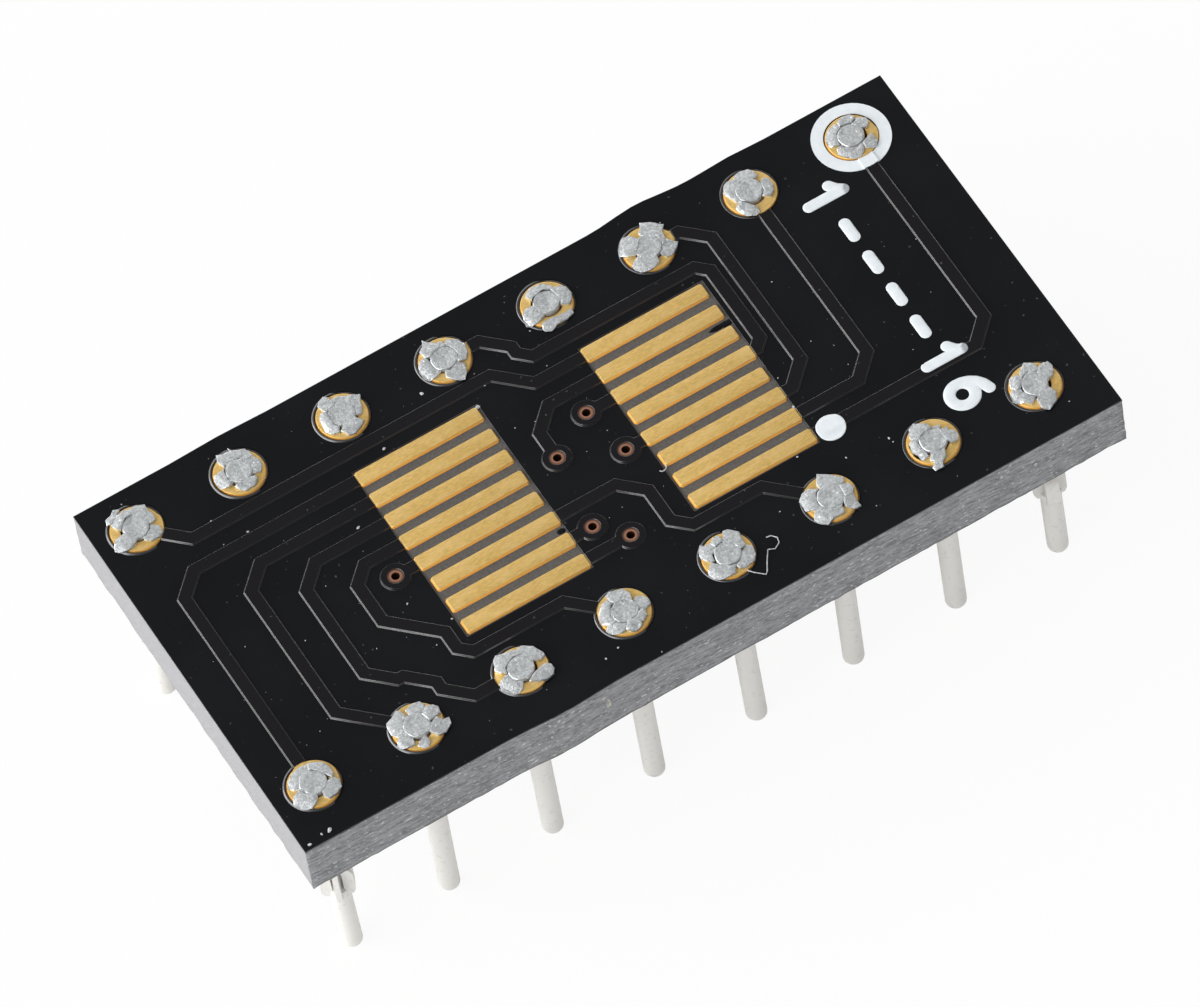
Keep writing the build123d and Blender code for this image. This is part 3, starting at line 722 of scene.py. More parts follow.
def add_smear(bm, x, y, length, breadth):
    """Flat scrap of mask left on the laminate beside a contact."""
    part = bmesh.new()
    bmesh.ops.create_icosphere(part, subdivisions=3, radius=1.0)
    for vert in part.verts:
        vert.co *= 1 + 0.25 * noise.noise(vert.co * 2.1 + Vector((x, y, 0)))
    flat = Matrix.Diagonal((length / 2 * MM, breadth / 2 * MM, 0.02 * MM, 1))
    place = Matrix.Translation((x * MM, y * MM, BOARD_HIGH.z))
    bmesh.ops.transform(part, matrix=place @ flat, verts=part.verts)
    smooth(part.faces)
    absorb(bm, part)


def make_copper(number, look, material):
    """Copper net with its plated walls etched aslant and their edges rounded."""
    bm = merged_copy(f"track_{number}")
    top = COPPER_TOP - 0.001 * MM
    walls = []
    for face in bm.faces:
        levels = [vert.co.z for vert in face.verts]
        if abs(face.normal.z) < 0.2 and max(levels) > top > min(levels) + 0.03 * MM:
            walls.append(face)
    lean(walls, top, -look.etch)
    rim = []
    for edge in bm.edges:
        if min(vert.co.z for vert in edge.verts) < top or len(edge.link_faces) != 2:
            continue
        if any(face in walls for face in edge.link_faces):
            rim.append(edge)
    round_edges(bm, rim, look.edge_radius, 3, clamp=False)
    smooth_slopes(bm)
    piece = make_piece(bm, f"copper_net_{number}", material, "gold", f"track_{number}")
    piece.data.set_sharp_from_angle(angle=math.radians(40))
    return piece


def is_sawn(face):
    """True for the outer walls of the board."""
    middle = face.calc_center_median()
    at_end = min(middle.x - BOARD_LOW.x, BOARD_HIGH.x - middle.x) < 0.05 * MM
    at_side = min(middle.y - BOARD_LOW.y, BOARD_HIGH.y - middle.y) < 0.2 * MM
    return abs(face.normal.z) < 0.2 and (at_end or at_side)


def cut_walls(bm, axis, places):
    """Cuts the sawn walls across at each place along an axis."""
    across = Vector((0, 0, 0))
    across[axis] = 1
    for place in places:
        walls = [face for face in bm.faces if is_sawn(face)]
        touched = {item for face in walls for item in (*face.edges, *face.verts)}
        bmesh.ops.bisect_plane(bm, geom=walls + list(touched), plane_co=across * place, plane_no=across)


def spaced(low, high, step):
    """Places between low and high, evenly spaced by about step."""
    count = max(1, round((high - low) / step))
    return [low + (high - low) * i / count for i in range(1, count)]


def make_laminate(look, material):
    """Board core whose sawn walls are torn along their glass fibres."""
    bm = merged_copy("laminate")
    cut_walls(bm, 2, spaced(BOARD_LOW.z, BOARD_HIGH.z, 0.1 * MM))
    cut_walls(bm, 0, spaced(BOARD_LOW.x, BOARD_HIGH.x, 0.16 * MM))
    cut_walls(bm, 1, spaced(BOARD_LOW.y, BOARD_HIGH.y, 0.16 * MM))
    walls = [face for face in bm.faces if is_sawn(face)]
    normals = {}
    for face in walls:
        for vert in face.verts:
            normals.setdefault(vert, []).append(face.normal.copy())
    for vert, found in normals.items():
        inward = -sum(found, Vector()).normalized()
        spot = vert.co / MM
        depth = 1 + ripple(spot, 1.3, 9) + 0.6 * ripple(spot, 3.1, 3)
        if vert.co.z < BOARD_LOW.z + 0.02 * MM:
            depth += 3.0 * abs(ripple(spot, 2.3, 0, 7))
        vert.co += inward * look.fibre_depth * MM * max(0.0, depth)
    smooth(walls)
    return make_piece(bm, "laminate_core", material, "laminate", "laminate")


def turned(profile, segments):
    """Closed solid of revolution about Z from an open profile of (radius, height) points."""
    part = bmesh.new()
    verts = [part.verts.new((radius, 0, height)) for radius, height in profile]
    edges = [part.edges.new(pair) for pair in zip(verts, verts[1:])]
    bmesh.ops.spin(
        part,
        geom=verts + edges,
        axis=(0, 0, 1),
        cent=(0, 0, 0),
        steps=segments,
        angle=math.tau,
        use_merge=True,
        use_duplicate=False,
    )
    bmesh.ops.remove_doubles(part, verts=part.verts, dist=1e-7)
    return part


def add_shank(bm, look, winged):
    """Round shank with a rounded tip, ending inside the hole; thin between the wings of a corner pin."""
    radius = look.shank_radius * MM
    tip = look.tip_radius * MM
    collar = (look.disc_radius - 0.02) * MM
    collar_low = BOARD_LOW.z - 0.25 * MM
    profile = [(0, 0)]
    for step in range(6):
        turn = math.radians(90 * step / 5)
        profile.append((radius - tip + tip * math.sin(turn), tip - tip * math.cos(turn)))
    if winged:
        slit_low = BOARD_LOW.z - (look.wing_low - 0.22) * MM
        slit_high = BOARD_LOW.z - (look.wing_low - look.wing_height) * MM
        core = look.wing_core * MM
        profile += [(radius, slit_low), (core, slit_low + 0.05 * MM)]
        profile += [(core, slit_high - 0.1 * MM), (radius, slit_high)]
    profile += [(radius, collar_low - 0.08 * MM), (collar - 0.01 * MM, collar_low)]
    profile += [(collar, BOARD_LOW.z), (collar, BOARD_HIGH.z), (0, BOARD_HIGH.z)]
    absorb(bm, turned(profile, 32))


def add_disc(bm, look, seed):
    """Struck centre of the head: a slightly uneven disc with a rounded rim."""
    radius = look.disc_radius * MM
    top = COPPER_TOP + look.disc_height * MM
    dish = look.disc_dish * MM
    low = BOARD_HIGH.z - 0.2 * MM
    profile = [(0, low), (radius, low), (radius, top - 0.02 * MM)]
    profile += [(radius - 0.01 * MM, top - 0.006 * MM), (radius - 0.03 * MM, top)]
    profile += [(radius * share, top - dish * (1 - share * share)) for share in (0.7, 0.5, 0.25, 0)]
    part = turned(profile, 40)
    for vert in part.verts:
        if vert.co.z > COPPER_TOP:
            spot = vert.co / MM
            vert.co.z += min(0.0, ripple(spot, 7, 0, seed * 3.7)) * 0.03 * MM
            wander = 0.1 * ripple(spot, 5, 0, seed * 1.7 + 9)
            vert.co.x += spot.x * wander * MM
            vert.co.y += spot.y * wander * MM
    absorb(bm, part)


def absorb(bm, part):
    """Moves everything of one bmesh into another."""
    mesh = bpy.data.meshes.new("part")
    part.to_mesh(mesh)
    part.free()
    bm.from_mesh(mesh)
    bpy.data.meshes.remove(mesh)


def petal_places(look, outline, root_radius):
    """Outline of a petal in millimetres, swollen, spread at its root and joined to the disc."""
    middle = sum((Vector(point) for point in outline), Vector((0, 0))) / len(outline)
    places = []
    for point in outline:
        spot = Vector(point) * PETAL_UNIT
        reach = spot.length + 0.01
        spot += (spot - middle * PETAL_UNIT) * look.petal_swell
        spot *= min(1.0, reach / spot.length)
        root = clamped((0.56 - spot.length) / 0.24)
        spread = math.copysign(math.radians(look.root_spread), middle.angle_signed(spot)) * root
        spot.rotate(Matrix.Rotation(-spread, 2))
        if spot.length < 0.4:
            spot *= root_radius / spot.length
        places.append(spot)
    return places


def wear_petal(part, look, tip, height, seed):
    """Roughens a petal, lets it droop outwards and bends its tip down at the left of the head."""
    for vert in part.verts:
        spot = vert.co / MM
        share = (vert.co.z - COPPER_TOP) / (height * MM)
        rough = noise.noise_vector(Vector((spot.x * 9, spot.y * 9, spot.z * 9 + seed)))
        vert.co.x += rough.x * 0.014 * MM
        vert.co.y += rough.y * 0.014 * MM
        outward = max(0.0, (spot.xy.length - 0.3) / 0.3)
        leftward = max(0.0, -(spot.x * 0.94 + spot.y * 0.34) / max(0.1, spot.xy.length))
        beyond = clamped((spot.xy.length - tip + 0.12) / 0.1)
        droop = look.petal_droop * outward + look.tip_bend * leftward * beyond
        vert.co.z += share * MM * (0.022 * rough.z - droop)
        vert.co.z = min(vert.co.z, cad_high.z)


def add_petal(bm, look, outline, root_radius, height, seed):
    """One torn petal of tin folded flat on the land, with uneven edges and top."""
    part = bmesh.new()
    places = petal_places(look, outline, root_radius)
    bottom = part.faces.new([part.verts.new((spot.x * MM, spot.y * MM, COPPER_TOP)) for spot in places])
    bottom.normal_update()
    if bottom.normal.z > 0:
        bottom.normal_flip()
    raised = bmesh.ops.extrude_face_region(part, geom=[bottom], use_keep_orig=True)["geom"]
    lifted = [item for item in raised if isinstance(item, bmesh.types.BMVert)]
    bmesh.ops.translate(part, verts=lifted, vec=(0, 0, height * MM))
    rim = [edge for face in raised if isinstance(face, bmesh.types.BMFace) for edge in face.edges]
    round_edges(part, rim, 0.018, 2)
    bmesh.ops.triangulate(part, faces=[face for face in part.faces if len(face.verts) > 4])
    long_edges = [edge for edge in part.edges if edge.calc_length() > 0.06 * MM]
    bmesh.ops.subdivide_edges(part, edges=long_edges, cuts=2, use_grid_fill=True)
    tip = max(Vector(point).length for point in outline) * PETAL_UNIT
    wear_petal(part, look, tip, height, seed)
    absorb(bm, part)


def add_wings(bm, look, turn):
    """Coined wings that hold the board off its socket: a thick pair and a thin pair."""
    low = BOARD_LOW.z - look.wing_low * MM
    thick = (look.wing_thick, look.wing_slit)
    thin = (look.wing_thin, 0.0)
    for quarter, (thickness, start) in ((0, thick), (180, thick), (90, thin), (270, thin)):
        part = bmesh.new()
        bmesh.ops.create_cube(part, size=1.0)
        length = (look.wing_radius - start) * MM
        bmesh.ops.translate(part, vec=(0.5 + start * MM / length, 0, 0), verts=part.verts)
        bmesh.ops.scale(part, vec=(length, thickness * MM, look.wing_height * MM), verts=part.verts)
        outer = 0.9 * look.wing_radius * MM
        ends = [edge for edge in part.edges if min(vert.co.x for vert in edge.verts) > outer]
        ends = [edge for edge in ends if abs(edge.verts[0].co.y - edge.verts[1].co.y) > 0.5 * thickness * MM]
        round_edges(part, ends, look.wing_corner, 2)
        spin_by = Matrix.Rotation(math.radians(turn + quarter), 4, "Z")
        lift = Matrix.Translation((0, 0, low + look.wing_height * MM / 2))
        bmesh.ops.transform(part, matrix=lift @ spin_by, verts=part.verts)
        absorb(bm, part)


def pin_centre(number):
    """Axis of a pin, from its CAD node."""
    low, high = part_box(f"pin_{number}")
    return Vector(((low.x + high.x) / 2, (low.y + high.y) / 2, 0))


def make_pin(number, look, shank, head, torn_tin_painted_highlight):
    """One staked pin with its torn head."""
    bm = bmesh.new()
    add_shank(bm, look, number in WING_TURNS)
    if number in WING_TURNS:
        add_wings(bm, look, WING_TURNS[number])
    add_disc(bm, look, number)
    for index, outline in enumerate(HEAD_PETALS[number]):
        height = look.petal_height - 0.012 * ((number * 7 + index * 5) % 4)
        root_radius = look.disc_radius + (0.015 if (number + index) % 3 else -0.03)
        add_petal(bm, look, outline, root_radius, height, number * 11 + index * 3.3)
    shift = PIN_LEANS.get(number, 0.0)
    for vert in bm.verts:
        below = max(0.0, 1 - vert.co.z / BOARD_LOW.z)
        vert.co.x += LEAN_WAY[0] * shift * below * MM
        vert.co.y += LEAN_WAY[1] * shift * below * MM
    bmesh.ops.recalc_face_normals(bm, faces=bm.faces)
    head_low = COPPER_TOP - 0.3 * MM
    for face in bm.faces:
        face.smooth = True
        level = face.calc_center_median().z
        # Steep faces of the head take the tin with the painted highlight
        torn = level > COPPER_TOP and abs(face.normal.z) < 0.8
        face.material_index = (2 if torn else 1) if level > head_low else 0
    bmesh.ops.translate(bm, verts=bm.verts, vec=pin_centre(number))
    piece = make_piece(bm, f"staked_pin_{number}", shank, "tin", f"pin_{number}")
    piece.data.materials.append(head)
    piece.data.materials.append(torn_tin_painted_highlight)
    piece.data.set_sharp_from_angle(angle=math.radians(50))
    return piece


def legend_paths():
    """Centre lines of "1", four dashes and "16": (along, up) in millimetres, and whether each one closes."""
    paths = []
    for index in range(7):
        start = 0.42 + 0.985 * index
        if index in (0, 5):
            paths.append(([(start, 0.13), (start, 0.99)], False))
            paths.append(([(start, 0.99), (start - 0.1, 0.86), (start - 0.24, 0.76)], False))
        elif index < 5:
            paths.append(([(start - 0.2, 0.56), (start + 0.2, 0.56)], False))
        else:
            turns = [math.tau * step / 24 for step in range(24)]
            bowl = [(start + 0.28 * math.cos(turn), 0.41 + 0.28 * math.sin(turn)) for turn in turns]
            paths.append((bowl, True))
            stem = [(-0.28, 0.41), (-0.27, 0.55), (-0.22, 0.69), (-0.13, 0.82), (0.0, 0.92), (0.17, 0.98)]
            paths.append(([(start + along, up) for along, up in stem], False))
    return paths


def closely(points, step):
    """Points along a path, no further apart than the step."""
    made = [points[0]]
    for start, end in zip(points, points[1:]):
        count = math.ceil(math.dist(start, end) / step)
        for index in range(1, count + 1):
            share = index / count
            made.append((start[0] + (end[0] - start[0]) * share, start[1] + (end[1] - start[1]) * share))
    return made


def drape(bm, node_name):
    """Lifts a thin shape over the ridges of the film that it lies on."""
    film = merged_copy(node_name)
    below = BVHTree.FromBMesh(film)
    reach = 0.04 * MM
    down = Vector((0, 0, -1))
    for vert in bm.verts:
        tops = [MASK_FLAT]
        for x, y in ((0, 0), (reach, 0), (-reach, 0), (0, reach), (0, -reach)):
            above = Vector((vert.co.x + x, vert.co.y + y, BOARD_HIGH.z + MM))
            spot = below.ray_cast(above, down)[0]
            if spot:
                tops.append(spot.z)
        vert.co.z += max(tops) - MASK_FLAT
    film.free()


def strokes(name, paths, radius, resolution):
    """Curve of round strokes along paths, each a list of places and whether it closes."""
    curve = bpy.data.curves.new(name, "CURVE")
    curve.dimensions = "3D"
    curve.bevel_depth = radius
    curve.bevel_resolution = resolution
    for places, closed in paths:
        spline = curve.splines.new("POLY")
        spline.points.add(len(places) - 1)
        spline.use_cyclic_u = closed
        for point, place in zip(spline.points, places):
            point.co = (*place, 1)
    return curve


def make_pin_numbers(look, material):
    """Plain pin numbers of this end of the board, read along -Y, as rounded strokes of ink."""
    paths = []
    ends = []
    for points, closed in legend_paths():
        places = [(look.legend_x + up, look.legend_y - along, 0) for along, up in closely(points, 0.05)]
        paths.append((places, closed))
        if not closed:
            ends += [places[0], places[-1]]
    bm = as_bmesh(strokes("strokes", paths, look.stroke / 2, 4))
    for place in ends:
        ball = bmesh.ops.create_uvsphere(bm, u_segments=24, v_segments=10, radius=look.stroke / 2)["verts"]
        bmesh.ops.translate(bm, verts=ball, vec=place)
    flat = Matrix.Diagonal((MM, MM, look.ink_height / (look.stroke / 2) * MM, 1))
    bmesh.ops.transform(bm, matrix=Matrix.Translation((0, 0, MASK_FLAT)) @ flat, verts=bm.verts)
    drape(bm, "solder_mask_top")
    bmesh.ops.recalc_face_normals(bm, faces=bm.faces)
    smooth(bm.faces)
    return make_piece(bm, "pin_number_legend", material, "white_ink")


def make_dot(look, material):
    """Printed dot at contact 1 that swells softly over the covered track."""
    corner, far_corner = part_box("pin_one_dot")
    centre = (corner + far_corner) / 2
    radius = (far_corner.x - corner.x) / 2
    low = MASK_FLAT - 0.01 * MM
    top = MASK_FLAT + look.ink_height * MM
    chamfer = 0.006 * MM
    track_y = -2.2225 * MM
    half_track = 0.12 * MM
    ridge = 0.04 * MM
    rings = 12
    profile = [(0, low), (radius, low), (radius, top - chamfer)]
    profile += [((radius - chamfer) * (rings - step) / rings, top) for step in range(rings + 1)]
    bm = turned(profile, 64)
    bmesh.ops.translate(bm, verts=bm.verts, vec=(centre.x, centre.y, 0))
    for vert in bm.verts:
        if vert.co.z > MASK_FLAT:
            share = 1 - clamped((abs(vert.co.y - track_y) - half_track) / half_track)
            vert.co.z += ridge * share * share * (3 - 2 * share)
    bmesh.ops.recalc_face_normals(bm, faces=bm.faces)
    smooth(bm.faces)
    return make_piece(bm, "printed_dot", material, "white_ink", "pin_one_dot")


def as_bmesh(curve):
    """Curve turned into a mesh of its own."""
    loose = bpy.data.objects.new("loose", curve)
    bpy.context.collection.objects.link(loose)
    bpy.context.view_layer.update()
    shape = bpy.data.meshes.new_from_object(loose.evaluated_get(bpy.context.evaluated_depsgraph_get()))
    bpy.data.objects.remove(loose)
    bm = bmesh.new()
    bm.from_mesh(shape)
    return bm


def add_speck(bm, x, y, radius, seed):
    """Lump of dust lying on the mask."""
    made = bmesh.ops.create_icosphere(bm, subdivisions=1, radius=1.0)["verts"]
    for vert in made:
        vert.co *= 1 + 0.45 * noise.noise(vert.co * 1.7 + Vector((seed * 2.3, 0, 0)))
    flat = Matrix.Diagonal((radius * MM, radius * 0.7 * MM, radius * 0.35 * MM, 1))
    turn = Matrix.Rotation(seed * 1.9, 4, "Z")
    place = Matrix.Translation((x * MM, y * MM, MASK_FLAT + radius * 0.2 * MM))
    bmesh.ops.transform(bm, matrix=place @ turn @ flat, verts=made)


def make_dust(look, material):
    """Specks of dust: the plain ones of the board and a seeded scatter of fine ones."""
    bm = bmesh.new()
    for seed, (x, y, radius) in enumerate(NAMED_SPECKS):
        add_speck(bm, x, y, radius, seed)
    noise.seed_set(DUST_SEED)
    for index in range(look.fine_specks):
        x = DUST_CORNER[0] + DUST_SPAN[0] * noise.random()
        y = DUST_CORNER[1] + DUST_SPAN[1] * noise.random()
        radius = 0.008 + 0.014 * noise.random() ** 2
        if WINDOW_INNER < abs(x) < WINDOW_OUTER and abs(y) < WINDOW_HALF:
            continue
        add_speck(bm, x, y, radius, len(NAMED_SPECKS) + index)
    return make_piece(bm, "dust_specks", material, "white_ink")


def make_hair(material):
    """Curled fibres lying near the front edge and beside a window."""
    height = MASK_FLAT + 0.018 * MM
    paths = [([(x * MM, y * MM, height) for x, y in path], False) for path in (HAIR, CURL)]
    curve = strokes("lint_fibre", paths, 0.014 * MM, 2)
    curve.use_fill_caps = True
    return make_piece(as_bmesh(curve), "lint_fibre", material, "white_ink")


def colour_property(name, description, default):
    """Colour that the panel shows as a swatch."""
    return bpy.props.FloatVectorProperty(
        name=name, description=description, subtype="COLOR", size=3, min=0, max=1, default=default
    )


def number_property(name, description, default):
    """Plain number, or a size whose unit the description names."""
    return bpy.props.FloatProperty(name=name, description=description, default=default)


class AdapterBoardLook(bpy.types.PropertyGroup):
    """Films and core of the board."""

    mask_colour: colour_property("Mask", "Colour of the solder mask", (0.0052, 0.0056, 0.0070))
    mask_over_copper: colour_property(
        "Mask over copper", "Colour of the mask over a track", (0.0105, 0.0093, 0.0105)
    )
    mask_gloss: number_property("Mask roughness", "Roughness of the mask", 0.28)
    mask_shine: number_property("Mask shine", "Specular level of the mask", 0.15)
    shoulder_shine: number_property("Shoulder shine", "Specular level of the mask beside a track", 0.8)
    shoulder: number_property("Shoulder", "Run of the mask's slope beside a track, in mm", 0.02)
    lip_radius: number_property("Lip radius", "Inner radius of the mask's lip round a land, in mm", 0.607)
    lip_run: number_property("Lip run", "Width of the lip, in mm", 0.06)
    lip_height: number_property("Lip height", "Height of the lip, in mm", 0.035)
    rim_radius: number_property("Rim radius", "Rounding of the mask's edges, in mm", 0.02)
    laminate_colour: colour_property("Laminate", "Colour of the bare laminate", (0.115, 0.108, 0.1))
    edge_colour: colour_property("Sawn edge", "Colour of the long sawn edges", (0.25, 0.254, 0.265))
    # The short ends are painted lighter than the long edges: painted light from the left
    painted_lit_end_colour: colour_property("Short end", "Colour of the short ends", (0.36, 0.355, 0.365))
    fibre_depth: number_property("Fibre depth", "Depth of the torn fibres on the sawn edges, in mm", 0.012)


class AdapterCopperLook(bpy.types.PropertyGroup):
    """Contacts, lands and vias."""

    gold_colour: colour_property("Gold", "Colour of the gold plating", (0.8, 0.53, 0.165))
    gold_pale: colour_property("Pale gold", "Colour of the plating's pale clouds", (0.88, 0.62, 0.25))
    etch: number_property("Etch", "Slant of the plated walls, in mm", 0.025)
    edge_radius: number_property("Edge radius", "Rounding of the plated edges, in mm", 0.012)
    gold_metal: number_property("Metal", "Metallic share of the gold's shine", 0.45)
    gold_wall_colour: colour_property("Wall", "Colour of the plating's side walls", (0.85, 0.42, 0.08))
    # The via colour is also darkened in gold_material as painted shade on the walls of the via holes
    via_colour: colour_property("Via", "Colour of the bare copper at the vias", (0.36, 0.17, 0.105))


class AdapterPinLook(bpy.types.PropertyGroup):
    """Sizes and colours of the staked pins, sizes in millimetres."""

    shank_radius: number_property("Shank radius", "Radius of a pin's shank", 0.24)
    tip_radius: number_property("Tip radius", "Rounding of a pin's tip", 0.13)
    disc_radius: number_property("Disc radius", "Radius of the struck centre", 0.3)
    disc_height: number_property("Disc height", "Height of the struck centre", 0.085)
    disc_dish: number_property("Disc dish", "Hollow of the struck centre", 0.015)
    petal_droop: number_property("Petal droop", "Drop of the petals' tips", 0.03)
    petal_swell: number_property("Petal swell", "Share by which a petal spreads about its middle", 0.1)
    tip_bend: number_property("Tip bend", "Bend of the petals' tips at the left of a head", 0.055)
    root_spread: number_property("Root spread", "Widening of the petals at the disc, in degrees", 9)
    petal_height: number_property("Petal height", "Height of the petals", 0.1)
    wing_low: number_property("Wing drop", "Lower end of the wings below the board", 2.8)
    wing_height: number_property("Wing height", "Height of the wings", 1.0)
    wing_radius: number_property("Wing radius", "Reach of the wings", 0.37)
    wing_corner: number_property("Wing corner", "Rounding of the wings' corners", 0.2)
    wing_core: number_property("Wing core", "Radius of the shank between the wings", 0.09)
    wing_slit: number_property("Wing slit", "Radius where the thick wings begin", 0.13)
    wing_thick: number_property("Thick wing", "Thickness of the thick pair", 0.3)
    wing_thin: number_property("Thin wing", "Thickness of the thin pair", 0.12)
    # The head colour is also brightened on the petals' walls as a painted highlight
    head_colour: colour_property("Head", "Colour of the struck tin", (0.55, 0.57, 0.58))
    shank_colour: colour_property("Shank", "Colour of the shank's tin", (0.75, 0.737, 0.705))


class AdapterInkLook(bpy.types.PropertyGroup):
    """Printed ink and dirt."""

    ink_colour: colour_property("Ink", "Colour of the printed ink", (0.82, 0.87, 0.9))
    ink_height: number_property("Ink height", "Height of the ink, in mm", 0.02)
    stroke: number_property("Stroke", "Width of the legend's strokes, in mm", 0.27)
    legend_x: number_property("Legend X", "Foot of the legend along X, in mm", 7.08)
    legend_y: number_property("Legend Y", "Start of the legend along Y, in mm", 3.2)
    fine_specks: bpy.props.IntProperty(
        name="Fine specks", description="Number of fine dust specks", default=150
    )


class AdapterStageLook(bpy.types.PropertyGroup):
    """Camera, floor and light."""

    floor_size: bpy.props.FloatProperty(
        name="Floor", description="Side of the floor", default=1.2, unit="LENGTH"
    )
    dome_strength: number_property("Dome", "Strength of the room's light from above", 0.4)
    wall_strength: number_property("Walls", "Strength of the room's light from low down", 0.95)
    right_share: number_property("Right share", "How much brighter the room's right is than its left", 2.4)
    back_strength: number_property("Back", "Strength of the low back of the room in reflections", 3.0)
    floor_glow: number_property("Floor glow", "Share of plain white that the camera sees in the floor", 0.92)
    front_strength: number_property("Front", "Strength of the camera's side of the room in reflections", 0.1)
    left_power: number_property("Left lamp", "Power of the left soft box", 2.6)
    top_power: number_property("Top lamp", "Power of the overhead soft box", 0.5)


class ADAPTER_OT_board(bpy.types.Operator):
    """Make the mask films and the laminate core"""

    bl_idname = "adapter.make_board"
    bl_label = "Board"

    def execute(self, context):
        look = context.scene.adapter_board
        mask = mask_material(look, "black_solder_mask", look.mask_shine)
        make_mask_film(look, mask, mask_material(look, "mask_shoulder", look.shoulder_shine, 1.8))
        dress("solder_mask_underside", mask)
        make_laminate(look, laminate_material(look))
        return {"FINISHED"}


class ADAPTER_OT_copper(bpy.types.Operator):
    """Dress the contacts, tracks, lands and vias"""

    bl_idname = "adapter.dress_copper"
    bl_label = "Copper"

    def execute(self, context):
        look = context.scene.adapter_copper
        gold = gold_material(look)
        for number in PINS:
            make_copper(number, look, gold)
        return {"FINISHED"}


class ADAPTER_OT_pins(bpy.types.Operator):
    """Make the sixteen staked pins"""

    bl_idname = "adapter.make_pins"
    bl_label = "Pins"

    def execute(self, context):
        look = context.scene.adapter_pins
        shank = shank_material(look)
        head = head_material(look)
        torn_tin_painted_highlight = torn_wall_highlight_material(look)
        noise.seed_set(PETAL_SEED)
        for number in PINS:
            make_pin(number, look, shank, head, torn_tin_painted_highlight)
        return {"FINISHED"}


class ADAPTER_OT_ink(bpy.types.Operator):
    """Dress the ring and dot and print the pin numbers"""

    bl_idname = "adapter.print_ink"
    bl_label = "Ink"

    def execute(self, context):
        look = context.scene.adapter_ink
        ink = ink_material(look)
        dress("pin_one_ring", ink)
        make_dot(look, ink)
        make_pin_numbers(look, ink)
        return {"FINISHED"}


class ADAPTER_OT_dirt(bpy.types.Operator):
    """Scatter the dust and lay the fibre"""

    bl_idname = "adapter.scatter_dirt"
    bl_label = "Dirt"

    def execute(self, context):
        dust = dust_material()
        make_dust(context.scene.adapter_ink, dust)
        make_hair(dust)
        return {"FINISHED"}


class ADAPTER_OT_stage(bpy.types.Operator):
    """Set the camera, floor and lamps"""

    bl_idname = "adapter.set_stage"
    bl_label = "Stage"

    def execute(self, context):
        look = context.scene.adapter_stage
        set_camera(context)
        make_floor(look)
        set_world(context, look)
        add_lamp("left_soft_box", (-0.4, 0.07, 0.19), 0.7, 0.33, look.left_power)
        add_lamp("overhead_soft_box", (-0.26, -0.05, 0.44), 0.26, 0.26, look.top_power)
        return {"FINISHED"}


class ADAPTER_PT_panel(bpy.types.Panel):
    """Buttons and sizes of the adapter board"""

    bl_idname = "ADAPTER_PT_panel"
    bl_label = "Chip adapter board"
    bl_space_type = "VIEW_3D"
    bl_region_type = "UI"
    bl_category = "Adapter"

    def draw(self, context):
        for operator in OPERATORS:
            self.layout.operator(operator.bl_idname)
        for group in LOOKS:
            look = getattr(context.scene, group)
            box = self.layout.box()
            for key in look.__annotations__:
                box.prop(look, key)


def set_camera(context):
    """Camera where the photograph was taken from."""
    data = bpy.data.cameras.new("camera")
    data.sensor_width = 36
    data.lens = 445.66
    data.clip_start = 0.01
    data.clip_end = 10
    camera = bpy.data.objects.new("camera", data)
    context.collection.objects.link(camera)
    right = Vector((0.85809, -0.50438, -0.09636))
    up = Vector((0.47311, 0.70358, 0.53022))
    back = Vector((-0.19964, -0.50057, 0.84236))
    turn = Matrix((right, up, back)).transposed().to_4x4()
    camera.matrix_world = Matrix.Translation((-0.06320, -0.15881, 0.26525 + COPPER_TOP)) @ turn
    context.scene.camera = camera


def make_floor(look):
    """White floor that keeps a faint shadow."""
    bm = bmesh.new()
    bmesh.ops.create_grid(bm, x_segments=1, y_segments=1, size=look.floor_size / 2)
    material, tree, shader = new_material("white_floor", Base_Color=(0.9, 0.9, 0.9, 1), Roughness=0.9)
    glow = node(tree, "Emission", Strength=1.0)
    path = node(tree, "LightPath")
    seen = arithmetic(tree, "MULTIPLY", path.outputs["Is Camera Ray"], look.floor_glow)
    mixed = node(tree, "MixShader", _0=seen, _1=shader.outputs[0], _2=glow.outputs[0])
    tree.links.new(mixed.outputs[0], tree.nodes["Material Output"].inputs["Surface"])
    as_object(bm, "floor", material)


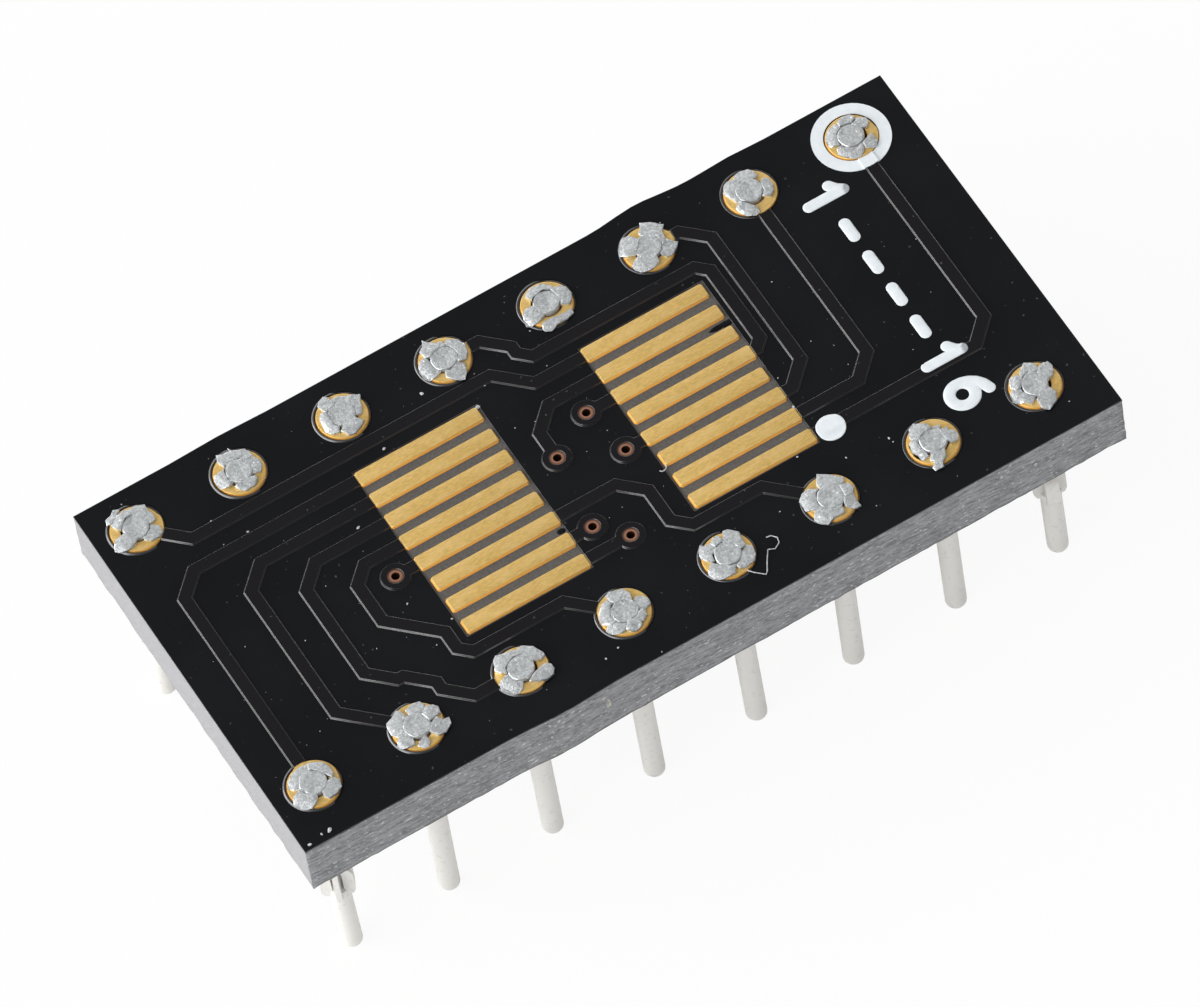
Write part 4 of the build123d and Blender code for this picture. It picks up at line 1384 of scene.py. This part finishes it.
def set_world(context, look):
    """Even pale room, white where the camera sees it."""
    world = bpy.data.worlds.new("pale_room")
    world.use_nodes = True
    tree = world.node_tree
    background = tree.nodes["Background"]
    path = node(tree, "LightPath")
    direction = node(tree, "TexCoord").outputs["Generated"]
    parts = node(tree, "SeparateXYZ", Vector=direction).outputs
    mirrored = ramp(tree, parts["Y"], -0.7, 0.5, look.front_strength, look.dome_strength)
    bright_back = ramp(tree, parts["Y"], 0.3, 0.8, 0.0, look.back_strength)
    low = ramp(tree, parts["Z"], 0.1, 0.5, 1.0, 0.0)
    back_wall = arithmetic(tree, "MULTIPLY", bright_back, low)
    mirrored = arithmetic(tree, "ADD", mirrored, back_wall)
    walls = ramp(tree, parts["X"], -0.2, 0.8, look.wall_strength, look.wall_strength * look.right_share)
    even = between(tree, low, look.dome_strength, walls)
    dome = between(tree, path.outputs["Is Glossy Ray"], even, mirrored)
    plug(tree, background, Strength=between(tree, path.outputs["Is Camera Ray"], dome, 1.0))
    background.inputs["Color"].default_value = (1, 1, 1, 1)
    context.scene.world = world
    context.scene.view_settings.view_transform = "Standard"


def add_lamp(name, place, width, height, power):
    """Soft box that looks at the board."""
    data = bpy.data.lights.new(name, "AREA")
    data.shape = "RECTANGLE"
    data.size = width
    data.size_y = height
    data.energy = power
    lamp = bpy.data.objects.new(name, data)
    bpy.context.collection.objects.link(lamp)
    place = Vector(place)
    lamp.matrix_world = Matrix.Translation(place) @ place.to_track_quat("Z", "Y").to_matrix().to_4x4()


LOOKS = {
    "adapter_board": AdapterBoardLook,
    "adapter_copper": AdapterCopperLook,
    "adapter_pins": AdapterPinLook,
    "adapter_ink": AdapterInkLook,
    "adapter_stage": AdapterStageLook,
}
OPERATORS = (
    ADAPTER_OT_board,
    ADAPTER_OT_copper,
    ADAPTER_OT_pins,
    ADAPTER_OT_ink,
    ADAPTER_OT_dirt,
    ADAPTER_OT_stage,
)


def register():
    for cls in (*LOOKS.values(), *OPERATORS, ADAPTER_PT_panel):
        bpy.utils.register_class(cls)
    for key, cls in LOOKS.items():
        setattr(bpy.types.Scene, key, bpy.props.PointerProperty(type=cls))


def unregister():
    for key in LOOKS:
        delattr(bpy.types.Scene, key)
    for cls in (ADAPTER_PT_panel, *reversed(OPERATORS), *reversed(list(LOOKS.values()))):
        bpy.utils.unregister_class(cls)


def main():
    """Builds the whole visual model."""
    register()
    bpy.ops.adapter.make_board()
    bpy.ops.adapter.dress_copper()
    bpy.ops.adapter.make_pins()
    bpy.ops.adapter.print_ink()
    bpy.ops.adapter.scatter_dirt()
    bpy.ops.adapter.set_stage()


if __name__ == "__main__":
    main()
